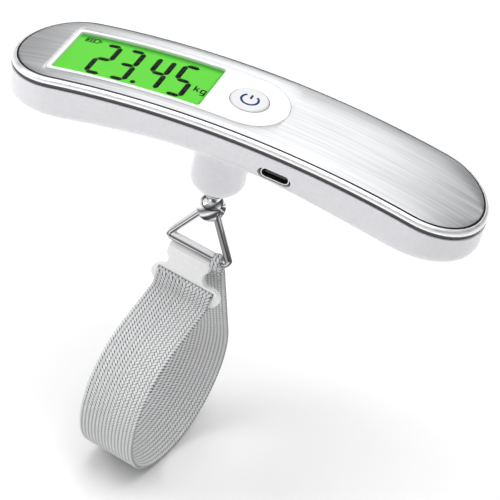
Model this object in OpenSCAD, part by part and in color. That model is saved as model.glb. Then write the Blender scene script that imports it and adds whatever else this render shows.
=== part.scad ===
// Digital luggage scale: an arched handle with a display, a weighing cell inside,
// a swivelling eye under it, a wire bail and a webbing loop with a clip.
// X runs along the handle, -Y is the side with the charging port, +Z is up.
// The origin is where the load axis meets the top plate.

/* [Handle] */
// Length of the handle along its arch
handle_len = 150; // [135:1:180]
// Width of the handle
handle_w = 37; // [34:0.5:44]
// Radius of the handle's arch
arch_r = 309; // [280:1:420]
// Middle of the handle, ahead of the load axis
handle_shift = 5.7; // [0:0.1:8]
// Height of the polished trim band
trim_h = 3.1; // [2.6:0.1:4]
// Thickness of the trim band's wall
trim_wall = 1.5; // [1.2:0.1:2]
// Depth of the lower shell under the trim
shell_depth = 12; // [11.5:0.5:15]
// Thickness of the lower shell's wall
shell_wall = 1.8; // [1.4:0.1:2.2]
// Thickness of the top plate
plate_t = 0.8; // [0.5:0.1:1]

/* [Display and button] */
// Length of the display window
window_len = 46.8; // [40:0.2:56]
// Width of the display window
window_w = 22; // [18:0.2:26]
// From the power button's middle to the window's near edge
window_gap = 11.6; // [9.5:0.2:12]
// Width of the white panel's rim beside the window
panel_rim = 1.2; // [1:0.1:2]
// Diameter of the power button
button_d = 11.6; // [9:0.2:13]
// Place of the power button along the handle
button_x = 4.6; // [3:0.1:6]
// Travel of the power button

/* [Hub and swivel] */
// Diameter of the hub under the handle
hub_d = 17; // [15:0.5:20]
// Depth of the hub's end below the top plate
hub_bottom = 35.6; // [32:0.2:42]
// Diameter of the eye's stem
stem_d = 4; // [3:0.5:5]
// Diameter of the ball-shaped eye
ball_d = 9; // [8.6:0.2:11]
// From the collar's lower face to the middle of the ball
ball_drop = 5.2; // [5:0.1:8]
// Turn of the eye and the bail about the load axis
swivel_rest = -10; // [-30:1:30]
// How far the bail and the loop lean forward at rest
lean_rest = 12; // [0:1:20]

/* [Bail] */
// Diameter of the bail's wire
wire_d = 2.4; // [2:0.1:2.6]
// Width of the bail over its lower corners
bail_w = 25.2; // [25:0.2:30]
// Height of the bail between the middles of its wire
bail_h = 15.5; // [14:0.5:20]

/* [Clip and strap] */
// Width of the webbing
strap_w = 20; // [18:0.5:22]
// Thickness of the webbing
strap_t = 1.5; // [1:0.1:1.8]
// Radius of the loop's round part
loop_r = 27; // [24:1:34]
// Depth of the loop's middle below the bail's bar
loop_drop = 48; // [44:1:60]
// Thickness of the clip
clip_t = 2; // [1.6:0.1:2.4]
// Width of the sewn tab beside the clip's tongue
tab_w = 3.2; // [2.4:0.1:4.5]

/* [Charging port] */
// Length of the port's opening in the shell
port_len = 10.4; // [9.8:0.1:11]
// Height of the port's opening in the shell
port_h = 4.2; // [3.9:0.1:4.6]
// Place of the port along the handle
port_x = 21.5; // [20:0.5:26]
// Depth of the port's middle below the top plate
port_z = 9; // [8.4:0.1:10]

/* [Hidden] */

// Small measures, each used by one piece
screw_play = 0.4;    // how much wider a clearance hole is than its screw
cross_len = 2.2;     // length and width of the cross in a screw's head
cross_w = 0.5;
switch_well = 0.8;   // how much wider the well in the switch is than the plunger
flange_in = 0.2;     // how much smaller the cap's flange is than its place
hub_root = 1.5;      // how far the hub's solid starts inside the shell's floor
hub_blend = 0.4;     // how far the hub's fillet reaches into the floor
dome_turn = 75;      // how far round the hub's lower edge curves, in degrees
port_skin = 0.6;     // how far inside the wall the port's opening starts
tongue_span = 6.6;   // tongue inside the receptacle, and how far it stays back
tongue_thick = 0.7;
tongue_in = 0.9;
root_span = 7.2;     // block that the tongue grows from
root_len = 1.5;
root_h = 2;
eye_gap = 2.2;       // from the middle of the weighing beam's web to each of its two round holes
slit = 1;            // height of the slit between those holes
gauge_gap = 3;       // from the same middle to each strain gauge
gauge_len = 4;
gauge_w = 5;
gauge_t = 0.2;
washer_rim = 0.6;    // how much wider the washer is than the nut
washer_play = 0.3;   // how much wider the washer's hole is than the stem
stem_end = 0.3;      // how far the stem stands out of the nut
neck_drop = 1.8;     // how far the clip's neck slopes down in front
heel = 0.9;          // height of the heel behind the neck
hook_foot = 0.8;     // how far the hook's back reaches below the neck's top
mouth = 0.3;         // how far behind its inner face the hook's opening starts
slot_play = 0.3;     // how much longer the clip's slot is than the strap is wide, at each end

$fn = 96;
fit_gap = 0.05;      // gap all round between pieces that are pressed or laid together
moving_gap = 0.25;   // gap round a piece that moves in a cover
over = 1;            // how far a cutter runs past the face that it cuts
trim_lip = 0.1;      // how far the trim's upper edge lies below the plate's face
tape_t = 0.2;        // thickness of the adhesive sheet under the top plate
panel_t = 1;         // height of the display panel's raised part
panel_corner = 1.5;  // radius of the panel's two corners
flange_t = 0.8;      // thickness of the panel's hidden flange
flange_w = 1.2;      // width of the panel's hidden flange
lens_t = 0.8;        // thickness of the clear window
lens_sink = 0.3;     // depth of the window's face below the panel's face
lens_edge = 0.6;     // how far the window reaches under the panel's rim
frame_z = plate_t + tape_t;
window_x = button_x - window_gap - window_len / 2;
panel_w = window_w + 2 * panel_rim;
flange_z = max(panel_t, frame_z);
shell_x = handle_shift;
cut_depth = 45;      // depth of a cut that goes right through the handle
end_taper = 26;      // length over which the shell's floor rises at each end
floor_power = 3.4;   // how square the shell's rounded section is

lcd_t = 1.5;         // thickness of the display's glass
lcd_margin = 1.6;    // how far the display's glass reaches past the window's ends
lcd_side = 1.4;      // and past its sides
lcd_gap = 0.2;       // gap round the glass in the frame
lcd_z = 2.9;         // depth of the display's glass at its middle
light_t = 1.5;       // thickness of the backlight
light_in = 1.5;      // how far the backlight stays inside the window's sides
strip_w = 1.8;       // width of a contact strip
strip_in = 0.2;      // how far the strips' middles lie inside the window's sides
board_t = 1;         // thickness of the main circuit board
board_z = lcd_z + lcd_t + light_t + fit_gap;
board_w = window_w + 3;
board_left = window_len / 2 + 2.4;          // how far the main board runs left of the window's middle
board_right = button_x - window_x + 5;      // and right of it, past the button

chip_w = 5;          // side of the square controller
chip_t = 0.9;        // thickness of the controller
chip_gap = 1.4;      // from the window's edge to the controller
chip_side = 3;       // from the handle's middle line to the controller
switch_w = 5.2;      // side of the square switch
switch_t = 1.1;      // height of the square switch
switch_floor = 0.2;  // thickness of the switch under its plunger
switch_x = button_x - 0.1;   // the board slopes, so the switch sits a little to one side
seat = 0.02;         // gap under a piece that stands on a board or a face
plunger_lift = 0.95; // from the board's face up to the plunger's foot
plunger_d = 2.6;     // diameter of the switch's plunger
cap_low = 1.6;       // depth of the cap's lower face
cap_proud = 0.4;     // how far the cap stands above the panel
cap_flange = 0.45;   // thickness of the cap's flange
button_flange = 0.8; // width of the flange that holds the button in

screw_d = 2.2;       // diameter of the self-tapping screws
screw_head = 4;      // diameter of their heads
head_t = 1.3;        // height of their heads
boss_d = 5;          // diameter of the posts that take the screws
pilot_extra = 0.4;   // how much deeper a screw's hole is than the screw
frame_screw_len = 7;
screw_y = 7.5;       // half the distance between a pair of frame screws
screw_in = 9;        // distance of the frame screws from the handle's ends

cell_w = 11;         // width of the weighing cell
cell_t = 4.4;        // thickness of the weighing cell
cell_top = 8.7;      // depth of the weighing cell's top
cell_from = -6;      // the cell's free end
cell_to = 33;        // the cell's fixed end
cell_fix_x = 29;     // place of the screws in the fixed end
cell_fix_y = 3;      // half the distance between them
cell_web_x = 14;     // middle of the cell's thin part
cell_web_r = 1.5;    // radius of the holes that make it thin
cell_screw_len = 6;

washer_t = 0.6;
nut_t = 1.9;
nut_flats = 7;
stem_gap = 0.05;     // running gap between the stem and its bush
collar_d = 6;        // diameter of the collar above the ball
collar_t = 1.1;
collar_gap = 0.4;    // gap between the hub and the collar
bush_wall = 1.5;
bush_len = 7;
bush_head = 1;       // height of the bush's head inside the hub
hub_wall = 2.2;
hub_fillet = 5;      // radius of the fillet where the hub meets the shell
hub_dome = 5.2;      // height of the hub's rounded end

hole_gap = 0.4;      // gap round the wire in the eye's cross hole
sit_gap = 0.05;      // gap between the hanging wire and the bottom of its hole
apex_half = 3.2;     // half the width of the bail's top between its sharp corners
apex_bend = 2.4;     // radius of the bail's bends in the eye
corner_bend = 1.7;   // radius of the bail's lower bends
bend_extra = 0.05;   // how much thicker the wire is where it is bent
run_in = 0.2;        // how far a straight run of wire reaches into its bends
ball_z = hub_bottom + collar_gap + collar_t + ball_drop;
wire_z = ball_z + hole_gap - sit_gap;
bar_z = wire_z + bail_h;

strap_mid = -0.6;    // middle of the strap along the bar
clip_gap = 0.1;      // gap between the hook and the bar
hook_in = wire_d / 2 + clip_gap;
neck_top = hook_in - 0.7;   // from the bar's middle down to where the hook's neck starts
neck_low = 4;        // from the bar's middle down to where the neck meets the plate
bar_half = bail_w / 2 - wire_d / 2 - corner_bend;   // half the bar's straight length
bar_play = 0.1;      // gap between the tongue and the bail's bend
tab_side = 0.2;      // gap between the tongue and the tab
tab_play = 0.7;      // gap between the tab and the bail's other bend
tongue_w = 2 * bar_half - bar_play - tab_side - tab_w - tab_play;
tongue_mid = -bar_half + bar_play + tongue_w / 2;
tab_mid = bar_half - tab_play - tab_w / 2;
tongue_shift = tongue_mid - strap_mid;
clip_drop = 9.4;     // from the bar down to the top of the clip's base
clip_base = 6.2;     // height of the clip's base
clip_lobe = 2.3;     // how far the clip's base reaches past the webbing
slot_h = strap_t + 0.5;
slot_drop = 0.9;     // from the top of the base down to the slot
clip_front = 0.7;    // how far the clip's face stands ahead of the bar's middle
tab_gap = 0.1;       // gap between the tab and the bar
tab_sewn = 1.2;      // how far the tab runs down over the strap's end
back_top = 3.4;      // from the bar down to the top of the strap's back run
back_f = -2.6;       // the back run's place behind the bar
wrap_gap = 0.12;     // gap between the webbing and the clip

// ---------- places on the arch ----------

// Puts children on the arch at x, with their own Z along the arch's normal
module on_arch(x) {
    translate([shell_x, 0, -arch_r]) rotate([0, asin((x - shell_x) / arch_r), 0])
        translate([0, 0, arch_r]) children();
}

// Plan outline of the handle, set in from its edge
module plan(inset = 0) {
    half = handle_w / 2 - inset;
    translate([shell_x, 0]) {
        square([handle_len - handle_w, 2 * half], center = true);
        for (side = [-1, 1])
            translate([side * (handle_len - handle_w) / 2, 0]) circle(r = half);
    }
}

// A plan outline cut right through the handle
module through() {
    translate([0, 0, -cut_depth]) linear_extrude(cut_depth + 5) children();
}

// The space between two depths under the arch of the top plate
module between(from, to) {
    translate([shell_x, handle_w, -arch_r]) rotate([90, 0, 0])
        difference() {
            cylinder(r = arch_r - from, h = 2 * handle_w, $fn = 720);
            translate([0, 0, -over]) cylinder(r = arch_r - to, h = 2 * handle_w + 2 * over, $fn = 720);
        }
}

// A flat layer of the handle between two depths, set in from the handle's edge
module layer(inset, from, to) {
    intersection() {
        through() plan(inset);
        between(from, to);
    }
}

// Quarter of a rounded box: from [width, 0] down to [0, depth]
function round_floor(width, depth, steps = 10, power = floor_power) = [
    for (i = [0 : steps])
        let (a = 90 * i / steps)
        [width * pow(cos(a), 2 / power), depth * pow(sin(a), 2 / power)]
];

function mirrored(points) = [for (i = [len(points) - 2 : -1 : 0]) [-points[i][0], points[i][1]]];

// The shell's bowl: its section swept along the arch, its side view, and the plan outline
module bowl(inset, depth, rise = 0) {
    half = handle_w / 2 - inset;
    side = round_floor(end_taper, depth);
    section = round_floor(half, depth);
    flat = handle_len / 2 - inset - end_taper;
    reach = atan2(handle_len, arch_r) / 2 + 2;
    intersection() {
        through() plan(inset);
        between(trim_h - rise, trim_h + depth + over);
        translate([shell_x, 0, -arch_r]) rotate([90, 0, 0]) rotate([0, 0, 90 - reach])
            rotate_extrude(angle = 2 * reach, $fn = 720) polygon(concat(
                [for (p = concat(section, mirrored(section))) [arch_r - trim_h - p[1], p[0]]],
                [[arch_r + over, -half], [arch_r + over, half]]));
        translate([shell_x, handle_w, 0]) rotate([90, 0, 0]) linear_extrude(2 * handle_w)
            polygon(concat(
                [for (p = concat(side, mirrored(side)))
                    let (x = p[0] + (p[0] > 0 ? flat : p[0] < 0 ? -flat : 0))
                    [x, -trim_h - p[1] - x * x / arch_r / 2]],
                [[-handle_len / 2 - over, over], [handle_len / 2 + over, over]]));
    }
}

// Half the shell's width inside at a depth below the arch
function inner_half(depth) =
    (handle_w / 2 - shell_wall)
    * pow(1 - pow((depth - trim_h) / (shell_depth - shell_wall), floor_power), 1 / floor_power);

// Outline of the white panel: round about the button, with small corners at the far end
module panel_outline(grow = 0) {
    half = panel_w / 2 + grow;
    left = window_x - window_len / 2 - panel_rim - grow;
    corner = panel_corner + grow;
    translate([button_x, 0]) circle(r = half);
    translate([left + corner, -half]) square([button_x - left - corner, 2 * half]);
    translate([left, -half + corner]) square([2 * corner, 2 * half - 2 * corner]);
    for (side = [-1, 1])
        translate([left + corner, side * (half - corner)]) circle(r = corner);
}

module window_outline(grow = 0) {
    translate([window_x - window_len / 2 - grow, -window_w / 2 - grow])
        square([window_len + 2 * grow, window_w + 2 * grow]);
}

function screw_places() = [
    for (x = [shell_x - handle_len / 2 + screw_in, shell_x + handle_len / 2 - screw_in])
        for (side = [-1, 1])
            [x, side * screw_y]
];

// ---------- top of the handle ----------

module top_plate() {
    color([0.72, 0.73, 0.74]) difference() {
        layer(trim_wall + fit_gap, 0, plate_t);
        through() panel_outline(fit_gap);
    }
}

module plate_tape() {
    color([0.85, 0.8, 0.6]) difference() {
        layer(trim_wall + fit_gap, plate_t, frame_z);
        through() panel_outline(flange_w + 2 * fit_gap);
    }
}

module trim_ring() {
    color([0.86, 0.87, 0.88]) difference() {
        layer(0, trim_lip, trim_h);
        through() plan(trim_wall);
    }
}

module upper_frame() {
    color([0.93, 0.93, 0.94]) difference() {
        layer(trim_wall + fit_gap, frame_z, trim_h);
        intersection() {
            through() panel_outline(flange_w + 2 * fit_gap);
            between(-over, flange_z + flange_t + fit_gap);
        }
        display_block(
            window_len + 2 * lcd_margin + 2 * lcd_gap, window_w + 2 * lcd_side + 2 * lcd_gap, 0, cut_depth
        );
        through() translate([button_x, 0]) circle(d = button_d + 2 * button_flange + 2 * moving_gap);
        for (place = screw_places())
            frame_screw_cut(place);
    }
}

module frame_screw_cut(place) {
    on_arch(place[0]) translate([0, place[1], 0]) {
        translate([0, 0, -cut_depth]) cylinder(d = screw_d + screw_play, h = cut_depth, $fn = 32);
        translate([0, 0, -frame_z - head_t])
            cylinder(d = screw_head + screw_play, h = frame_z + head_t + over, $fn = 32);
    }
}

module display_panel() {
    color([0.97, 0.97, 0.98]) difference() {
        union() {
            intersection() {
                through() panel_outline();
                between(0, flange_z + flange_t);
            }
            intersection() {
                through() panel_outline(flange_w);
                between(flange_z, flange_z + flange_t);
            }
        }
        through() window_outline();
        intersection() {
            through() window_outline(lens_edge + fit_gap);
            between(lens_sink, flange_z + flange_t + over);
        }
        through() translate([button_x, 0]) circle(d = button_d + 2 * moving_gap);
        translate([button_x, 0, -flange_z - over])
            cylinder(d = button_d + 2 * button_flange + 2 * moving_gap, h = over);
    }
}

module display_window() {
    color([0.75, 0.95, 0.75, 0.4]) intersection() {
        through() window_outline(lens_edge);
        between(lens_sink, lens_sink + lens_t);
    }
}

// ---------- display and electronics ----------

// A flat block of the display stack, centred on the window
module display_block(len, width, depth, thick) {
    on_arch(window_x) translate([-len / 2, -width / 2, -depth - thick]) cube([len, width, thick]);
}

module lcd_glass() {
    color([0.45, 0.88, 0.3])
        display_block(window_len + 2 * lcd_margin, window_w + 2 * lcd_side, lcd_z, lcd_t);
}

module lcd_backlight() {
    color([0.75, 0.98, 0.6]) display_block(window_len, window_w - 2 * light_in, lcd_z + lcd_t, light_t);
}

module zebra_strips() {
    color([0.9, 0.55, 0.6]) for (side = [-1, 1])
        on_arch(window_x)
            translate([
                -window_len / 2, side * (window_w / 2 - strip_in) - strip_w / 2, -lcd_z - lcd_t - light_t
            ])
                cube([window_len, strip_w, light_t]);
}

module main_board() {
    color([0.1, 0.42, 0.22]) on_arch(window_x)
        translate([-board_left, -board_w / 2, -board_z - board_t])
            cube([board_left + board_right, board_w, board_t]);
}

module controller_chip() {
    color([0.1, 0.1, 0.11]) on_arch(window_x)
        translate([window_len / 2 + chip_gap, -chip_w - chip_side, -board_z]) cube([chip_w, chip_w, chip_t]);
}

// Slope of the main board, and the height of its face at x
board_slope = asin((window_x - shell_x) / arch_r);
function board_top(x) =
    let (foot_x = shell_x + (arch_r - board_z) * sin(board_slope))
    let (foot_z = -arch_r + (arch_r - board_z) * cos(board_slope))
    foot_z - (x - foot_x) * tan(board_slope);

module tact_switch() {
    color([0.2, 0.2, 0.22]) translate([switch_x, 0, board_top(switch_x) + seat])
        rotate([0, board_slope, 0]) difference() {
            translate([-switch_w / 2, -switch_w / 2, 0]) cube([switch_w, switch_w, switch_t]);
            translate([0, 0, switch_floor]) cylinder(d = plunger_d + switch_well, h = switch_t);
        }
}

module switch_plunger() {
    foot = board_top(button_x) + plunger_lift;
    color([0.85, 0.3, 0.15]) translate([button_x, 0, foot])
        cylinder(d = plunger_d, h = -cap_low - foot - fit_gap);
}

module power_button() {
    color([0.98, 0.98, 0.99]) translate([button_x, 0, -cap_low]) {
        cylinder(d = button_d, h = cap_low + cap_proud);
        cylinder(d = button_d + 2 * button_flange - flange_in, h = cap_flange);
    }
}

// ---------- lower shell ----------

shell_floor = trim_h + shell_depth;
hub_r = hub_d / 2;

// Half section of the hub outside: fillet under the shell, wall, rounded end
function hub_points(steps = 8) = concat(
    [[0, -shell_floor + hub_root], [hub_r + hub_fillet, -shell_floor + hub_root]],
    [for (i = [0 : steps])
        let (a = 90 + 90 * i / steps)
        [
            hub_r + hub_fillet + hub_fillet * cos(a),
            -shell_floor - hub_fillet + hub_blend + hub_fillet * sin(a)
        ]],
    [for (i = [0 : steps])
        let (a = dome_turn * i / steps)
        [hub_r * cos(a), -hub_bottom + hub_dome - hub_dome * sin(a) / sin(dome_turn)]],
    [[0, -hub_bottom]]);

module port_cut(len, height, from, to) {
    on_arch(port_x) translate([0, -to, -port_z]) rotate([-90, 0, 0]) {
        cube([len - height, height, 2 * (to - from)], center = true);
        for (side = [-1, 1])
            translate([side * (len - height) / 2, 0, from - to]) cylinder(d = height, h = 2 * (to - from));
    }
}

module shell_boss(x, y, d) {
    intersection() {
        translate([x, y, -cut_depth]) cylinder(d = d, h = cut_depth);
        bowl(shell_wall / 3, shell_depth - shell_wall / 3);
    }
}

module lower_shell() {
    color([0.97, 0.97, 0.98]) difference() {
        union() {
            difference() {
                union() {
                    bowl(0, shell_depth);
                    rotate_extrude() polygon(hub_points());
                }
                bowl(shell_wall, shell_depth - shell_wall, over);
                translate([0, 0, -hub_bottom + bush_len - bush_head])
                    cylinder(r = hub_r - hub_wall, h = hub_bottom - bush_len + bush_head - trim_h);
            }
            for (place = screw_places())
                shell_boss(place[0], place[1], boss_d);
            for (side = [-1, 1])
                intersection() {
                    shell_boss(cell_fix_x, side * cell_fix_y, boss_d);
                    translate([0, -handle_w, -cut_depth])
                        cube([cell_to + boss_d, 2 * handle_w, cut_depth - cell_top - cell_t]);
                }
        }
        translate([0, 0, -hub_bottom - over]) cylinder(d = stem_d + 2 * bush_wall, h = bush_len + 2 * over);
        port_cut(port_len, port_h, inner_half(port_z + port_h / 2) - port_skin, handle_w / 2 + over);
        for (place = screw_places())
            on_arch(place[0]) translate([0, place[1], -frame_z - head_t - frame_screw_len - pilot_extra])
                cylinder(d = screw_d, h = frame_screw_len + pilot_extra + over, $fn = 32);
        for (side = [-1, 1])
            translate([cell_fix_x, side * cell_fix_y, -cell_top - cell_screw_len - pilot_extra / 2])
                cylinder(d = screw_d, h = cell_screw_len + over, $fn = 32);
    }
}

module frame_screws() {
    color([0.75, 0.75, 0.76]) for (place = screw_places())
        on_arch(place[0]) translate([0, place[1], -frame_z - head_t]) difference() {
            union() {
                cylinder(d = screw_head, h = head_t - fit_gap, $fn = 32);
                translate([0, 0, -frame_screw_len]) cylinder(d = screw_d, h = frame_screw_len, $fn = 32);
            }
            translate([0, 0, 0.5]) cross_recess();
        }
}

module cross_recess() {
    for (a = [0, 90])
        rotate([0, 0, a]) translate([-cross_len / 2, -cross_w / 2, 0]) cube([cross_len, cross_w, cut_depth]);
}

// ---------- battery and charging port ----------

battery_len = 32;
battery_w = 19;
battery_t = 4.6;
battery_gap = 0.9;   // from the main board down to the battery
pad_t = 0.6;

module battery() {
    color([0.75, 0.78, 0.82])
        display_block(battery_len, battery_w, board_z + board_t + battery_gap, battery_t);
}

module battery_pad() {
    color([0.25, 0.25, 0.27]) display_block(battery_len - 6, battery_w - 5,
        board_z + board_t + battery_gap + battery_t, pad_t);
}

usb_w = 8.94;        // width of the receptacle's metal shell
usb_h = 3.26;        // height of the receptacle's metal shell
usb_len = 7.35;
usb_wall = 0.3;
usb_face = 1.2;      // how far the receptacle sits back from the shell's face
usb_y = handle_w / 2 - usb_face;
usb_board_len = 13;
usb_board_w = 7;
usb_board_t = 0.8;
usb_board_y = inner_half(port_z + usb_h / 2 + usb_board_t + 0.1) - 0.3;

module port_solid(len, height, depth) {
    translate([-(len - height) / 2, 0, -height / 2]) cube([len - height, depth, height]);
    for (side = [-1, 1])
        translate([side * (len - height) / 2, 0, 0]) rotate([-90, 0, 0]) cylinder(d = height, h = depth);
}

module usb_shell() {
    color([0.7, 0.7, 0.72]) on_arch(port_x) translate([0, -usb_y, -port_z]) difference() {
        port_solid(usb_w, usb_h, usb_len);
        translate([0, -over, 0])
            port_solid(usb_w - 2 * usb_wall, usb_h - 2 * usb_wall, usb_len - usb_wall + over);
    }
}

module usb_tongue() {
    color([0.08, 0.08, 0.09]) on_arch(port_x) translate([0, -usb_y, -port_z]) {
        translate([-tongue_span / 2, tongue_in, -tongue_thick / 2])
            cube([tongue_span, usb_len - usb_wall - tongue_in, tongue_thick]);
        translate([-root_span / 2, usb_len - usb_wall - root_len, -root_h / 2])
            cube([root_span, root_len, root_h]);
    }
}

module usb_board() {
    color([0.1, 0.42, 0.22]) on_arch(port_x)
        translate([-usb_board_len / 2, -usb_board_y, -port_z - usb_h / 2 - usb_board_t])
            cube([usb_board_len, usb_board_w, usb_board_t]);
}

// ---------- weighing cell and swivel ----------

module load_cell() {
    color([0.8, 0.81, 0.83]) difference() {
        translate([cell_from, -cell_w / 2, -cell_top - cell_t]) cube([cell_to - cell_from, cell_w, cell_t]);
        translate([0, 0, -cell_top - cell_t - over]) cylinder(d = stem_d + 0.5, h = cell_t + 2 * over);
        for (side = [-1, 1]) {
            translate([cell_web_x + side * eye_gap, 0, -cell_top - cell_t / 2]) rotate([90, 0, 0])
                cylinder(r = cell_web_r, h = cell_w + 2 * over, center = true);
            translate([cell_fix_x, side * cell_fix_y, -cell_top - cell_t - over])
                cylinder(d = screw_d + screw_play, h = cell_t + 2 * over, $fn = 32);
        }
        translate([cell_web_x - eye_gap, -cell_w, -cell_top - cell_t / 2 - slit / 2])
            cube([2 * eye_gap, 2 * cell_w, slit]);
    }
}

module strain_gauges() {
    color([0.85, 0.6, 0.3]) for (side = [-1, 1])
        translate([cell_web_x + side * gauge_gap - gauge_len / 2, -gauge_w / 2, -cell_top + seat / 2])
            cube([gauge_len, gauge_w, gauge_t]);
}

module load_cell_screws() {
    color([0.75, 0.75, 0.76]) for (side = [-1, 1])
        translate([cell_fix_x, side * cell_fix_y, -cell_top]) difference() {
            union() {
                cylinder(d = screw_head, h = head_t, $fn = 32);
                translate([0, 0, -cell_screw_len]) cylinder(d = screw_d, h = cell_screw_len, $fn = 32);
            }
            translate([0, 0, 0.5]) cross_recess();
        }
}

module thrust_washer() {
    color([0.6, 0.6, 0.55]) translate([0, 0, -cell_top]) difference() {
        cylinder(d = nut_flats + washer_rim, h = washer_t);
        translate([0, 0, -over]) cylinder(d = stem_d + washer_play, h = washer_t + 2 * over);
    }
}

module hub_bush() {
    color([0.65, 0.66, 0.68]) translate([0, 0, -hub_bottom]) difference() {
        union() {
            cylinder(d = stem_d + 2 * bush_wall - seat, h = bush_len);
            translate([0, 0, bush_len - bush_head + fit_gap])
                cylinder(d = stem_d + 2 * bush_wall + 2, h = bush_head - fit_gap);
        }
        translate([0, 0, -over]) cylinder(d = stem_d + 2 * stem_gap, h = bush_len + 2 * over);
    }
}

nut_z = cell_top - washer_t;
module retaining_nut() {
    color([0.8, 0.8, 0.8]) translate([0, 0, -nut_z + 0.02]) difference() {
        cylinder(d = nut_flats / cos(30), h = nut_t, $fn = 6);
        translate([0, 0, -over]) cylinder(d = stem_d + 2 * seat, h = nut_t + 2 * over);
    }
}

module swivel_eye() {
    hole_r = wire_d / 2 + hole_gap;
    flare_from = 1.6;
    flare_len = ball_d / 2;
    color([0.8, 0.8, 0.82]) rotate([0, 0, swivel_rest]) difference() {
        union() {
            translate([0, 0, -ball_z]) sphere(d = ball_d);
            translate([0, 0, -ball_z]) cylinder(d = stem_d, h = ball_z - nut_z + nut_t + stem_end);
            translate([0, 0, -hub_bottom - collar_gap - collar_t]) cylinder(d = collar_d, h = collar_t);
        }
        translate([0, 0, -ball_z]) rotate([0, 90, 0]) {
            cylinder(r = hole_r, h = ball_d + 2 * over, center = true);
            for (side = [-1, 1])
                scale([1, 1, side]) translate([0, 0, flare_from])
                    cylinder(r1 = hole_r, r2 = hole_r + flare_len * 1.05, h = flare_len);
        }
    }
}

// ---------- bail ----------

// Moves children into the bail's own frame, which leans about the wire in the eye's hole:
// X along the bar, Z up, and the origin at a depth of z when nothing leans
module bail_frame(z) {
    rotate([0, 0, swivel_rest]) translate([0, 0, -wire_z]) rotate([-lean_rest, 0, 0])
        translate([0, 0, wire_z - z]) children();
}

bail_corner = corner_of(bail_w / 2 - wire_d / 2);
leg_angle = atan2(bail_h, bail_corner - apex_half);
// Half width between the bail's sharp lower corners that gives the half width over its bends
function corner_of(half, guess = 13) =
    let (turn = 180 - atan2(bail_h, guess - apex_half))
    let (next = half - corner_bend + corner_bend * tan(turn / 2))
    abs(next - guess) < 0.001 ? next : corner_of(half, next);

// A bend in the XZ plane: starts at start_angle on a circle about [x, z] and turns by sweep
module wire_bend(x, z, radius, start_angle, sweep) {
    translate([x, 0, z]) rotate([90, 0, 0]) rotate([0, 0, start_angle])
        rotate_extrude(angle = sweep) translate([radius, 0]) circle(d = wire_d + bend_extra, $fn = 32);
}

// A straight stretch of wire from one point to another in the XZ plane, and a little past both
module wire_run(from, to) {
    run = to - from;
    translate([from[0], 0, from[1]]) rotate([0, atan2(run[0], run[1]), 0]) translate([0, 0, -run_in])
        cylinder(d = wire_d, h = norm(run) + 2 * run_in, $fn = 32);
}

module bail() {
    top_cut = apex_bend * tan(leg_angle / 2);
    low_cut = corner_bend * tan((180 - leg_angle) / 2);
    leg = [cos(leg_angle), -sin(leg_angle)];
    color([0.8, 0.8, 0.82]) bail_frame(wire_z) {
        wire_run([-(apex_half - top_cut), 0], [apex_half - top_cut, 0]);
        wire_run([-(bail_corner - low_cut), -bail_h], [bail_corner - low_cut, -bail_h]);
        for (flip = [0, 1])
            mirror([flip, 0, 0]) {
                wire_bend(apex_half - top_cut, -apex_bend, apex_bend, 90 - leg_angle, leg_angle);
                wire_run([apex_half, 0] + top_cut * leg, [bail_corner, -bail_h] - low_cut * leg);
                wire_bend(bail_corner - low_cut, -bail_h + corner_bend, corner_bend, -90, 180 - leg_angle);
            }
    }
}

// ---------- clip ----------

// Extrudes a side view, drawn as (ahead of the bar, above the bar), along the bar
module along_bar(mid, width) {
    bail_frame(bar_z) translate([mid + width / 2, 0, 0]) rotate([90, 0, -90])
        linear_extrude(width) children();
}

base_top = -clip_drop;
base_low = -clip_drop - clip_base;
base_w = strap_w + 2 * clip_lobe;
slot_top = base_top - slot_drop;
slot_low = slot_top - slot_h;
hook_wall = 1.1;
clip_back = clip_front - clip_t;

// Side view of the hook that goes up behind the bar and over it
module hook_side() {
    hook_out = hook_in + hook_wall;
    difference() {
        circle(r = hook_out);
        circle(r = hook_in);
        translate([clip_front, -2 * hook_out]) square(4 * hook_out);
        translate([-hook_in + mouth, -4 * hook_out]) square(4 * hook_out);
    }
    polygon([[-hook_out, 0], [-hook_in, 0], [-hook_in, -neck_top], [clip_front, -neck_top - neck_drop],
             [clip_front, -neck_low], [clip_back, -neck_low], [clip_back, -neck_low + heel],
             [-hook_out, -neck_top - hook_foot]]);
}

// Front view of the plate below the hook, with its waist
module clip_front_view() {
    neck_r = 2.6;
    difference() {
        union() {
            translate([tongue_shift - tongue_w / 2, base_top - over])
                square([tongue_w, over - neck_low + 0.1 - base_top]);
            translate([-base_w / 2 + clip_base / 2, base_low]) square([base_w - clip_base, clip_base]);
            for (side = [-1, 1])
                translate([side * (base_w / 2 - clip_base / 2), (base_top + base_low) / 2])
                    circle(d = clip_base);
        }
        translate([-strap_w / 2 - slot_play, slot_low]) square([strap_w + 2 * slot_play, slot_h]);
        for (side = [-1, 1])
            translate([tongue_shift + side * (tongue_w / 2 + neck_r - 1.2), base_top + neck_r - 0.3])
                circle(r = neck_r);
    }
}

module clip() {
    color([0.96, 0.96, 0.97]) {
        along_bar(tongue_mid, tongue_w) hook_side();
        bail_frame(bar_z) translate([strap_mid, -clip_front, 0]) rotate([90, 0, 0])
            translate([0, 0, -clip_t]) linear_extrude(clip_t) clip_front_view();
    }
}

// ---------- strap ----------

// Point where the tangent from p touches the loop's circle, on the side that sign names
function touch_point(p, centre, radius, sign) =
    let (d = norm(p - centre))
    let (a = atan2(p[1] - centre[1], p[0] - centre[0]) + sign * acos(radius / d))
    centre + radius * [cos(a), sin(a)];

loop_mid = [0.3, -loop_drop];
front_f = clip_front + wrap_gap + strap_t / 2;
low_join = base_low - wrap_gap - strap_t / 2;
front_start = [front_f, low_join];
back_start = [back_f, -back_top];
front_touch = touch_point(front_start, loop_mid, loop_r, -1);
back_touch = touch_point(back_start, loop_mid, loop_r, 1);

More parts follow.
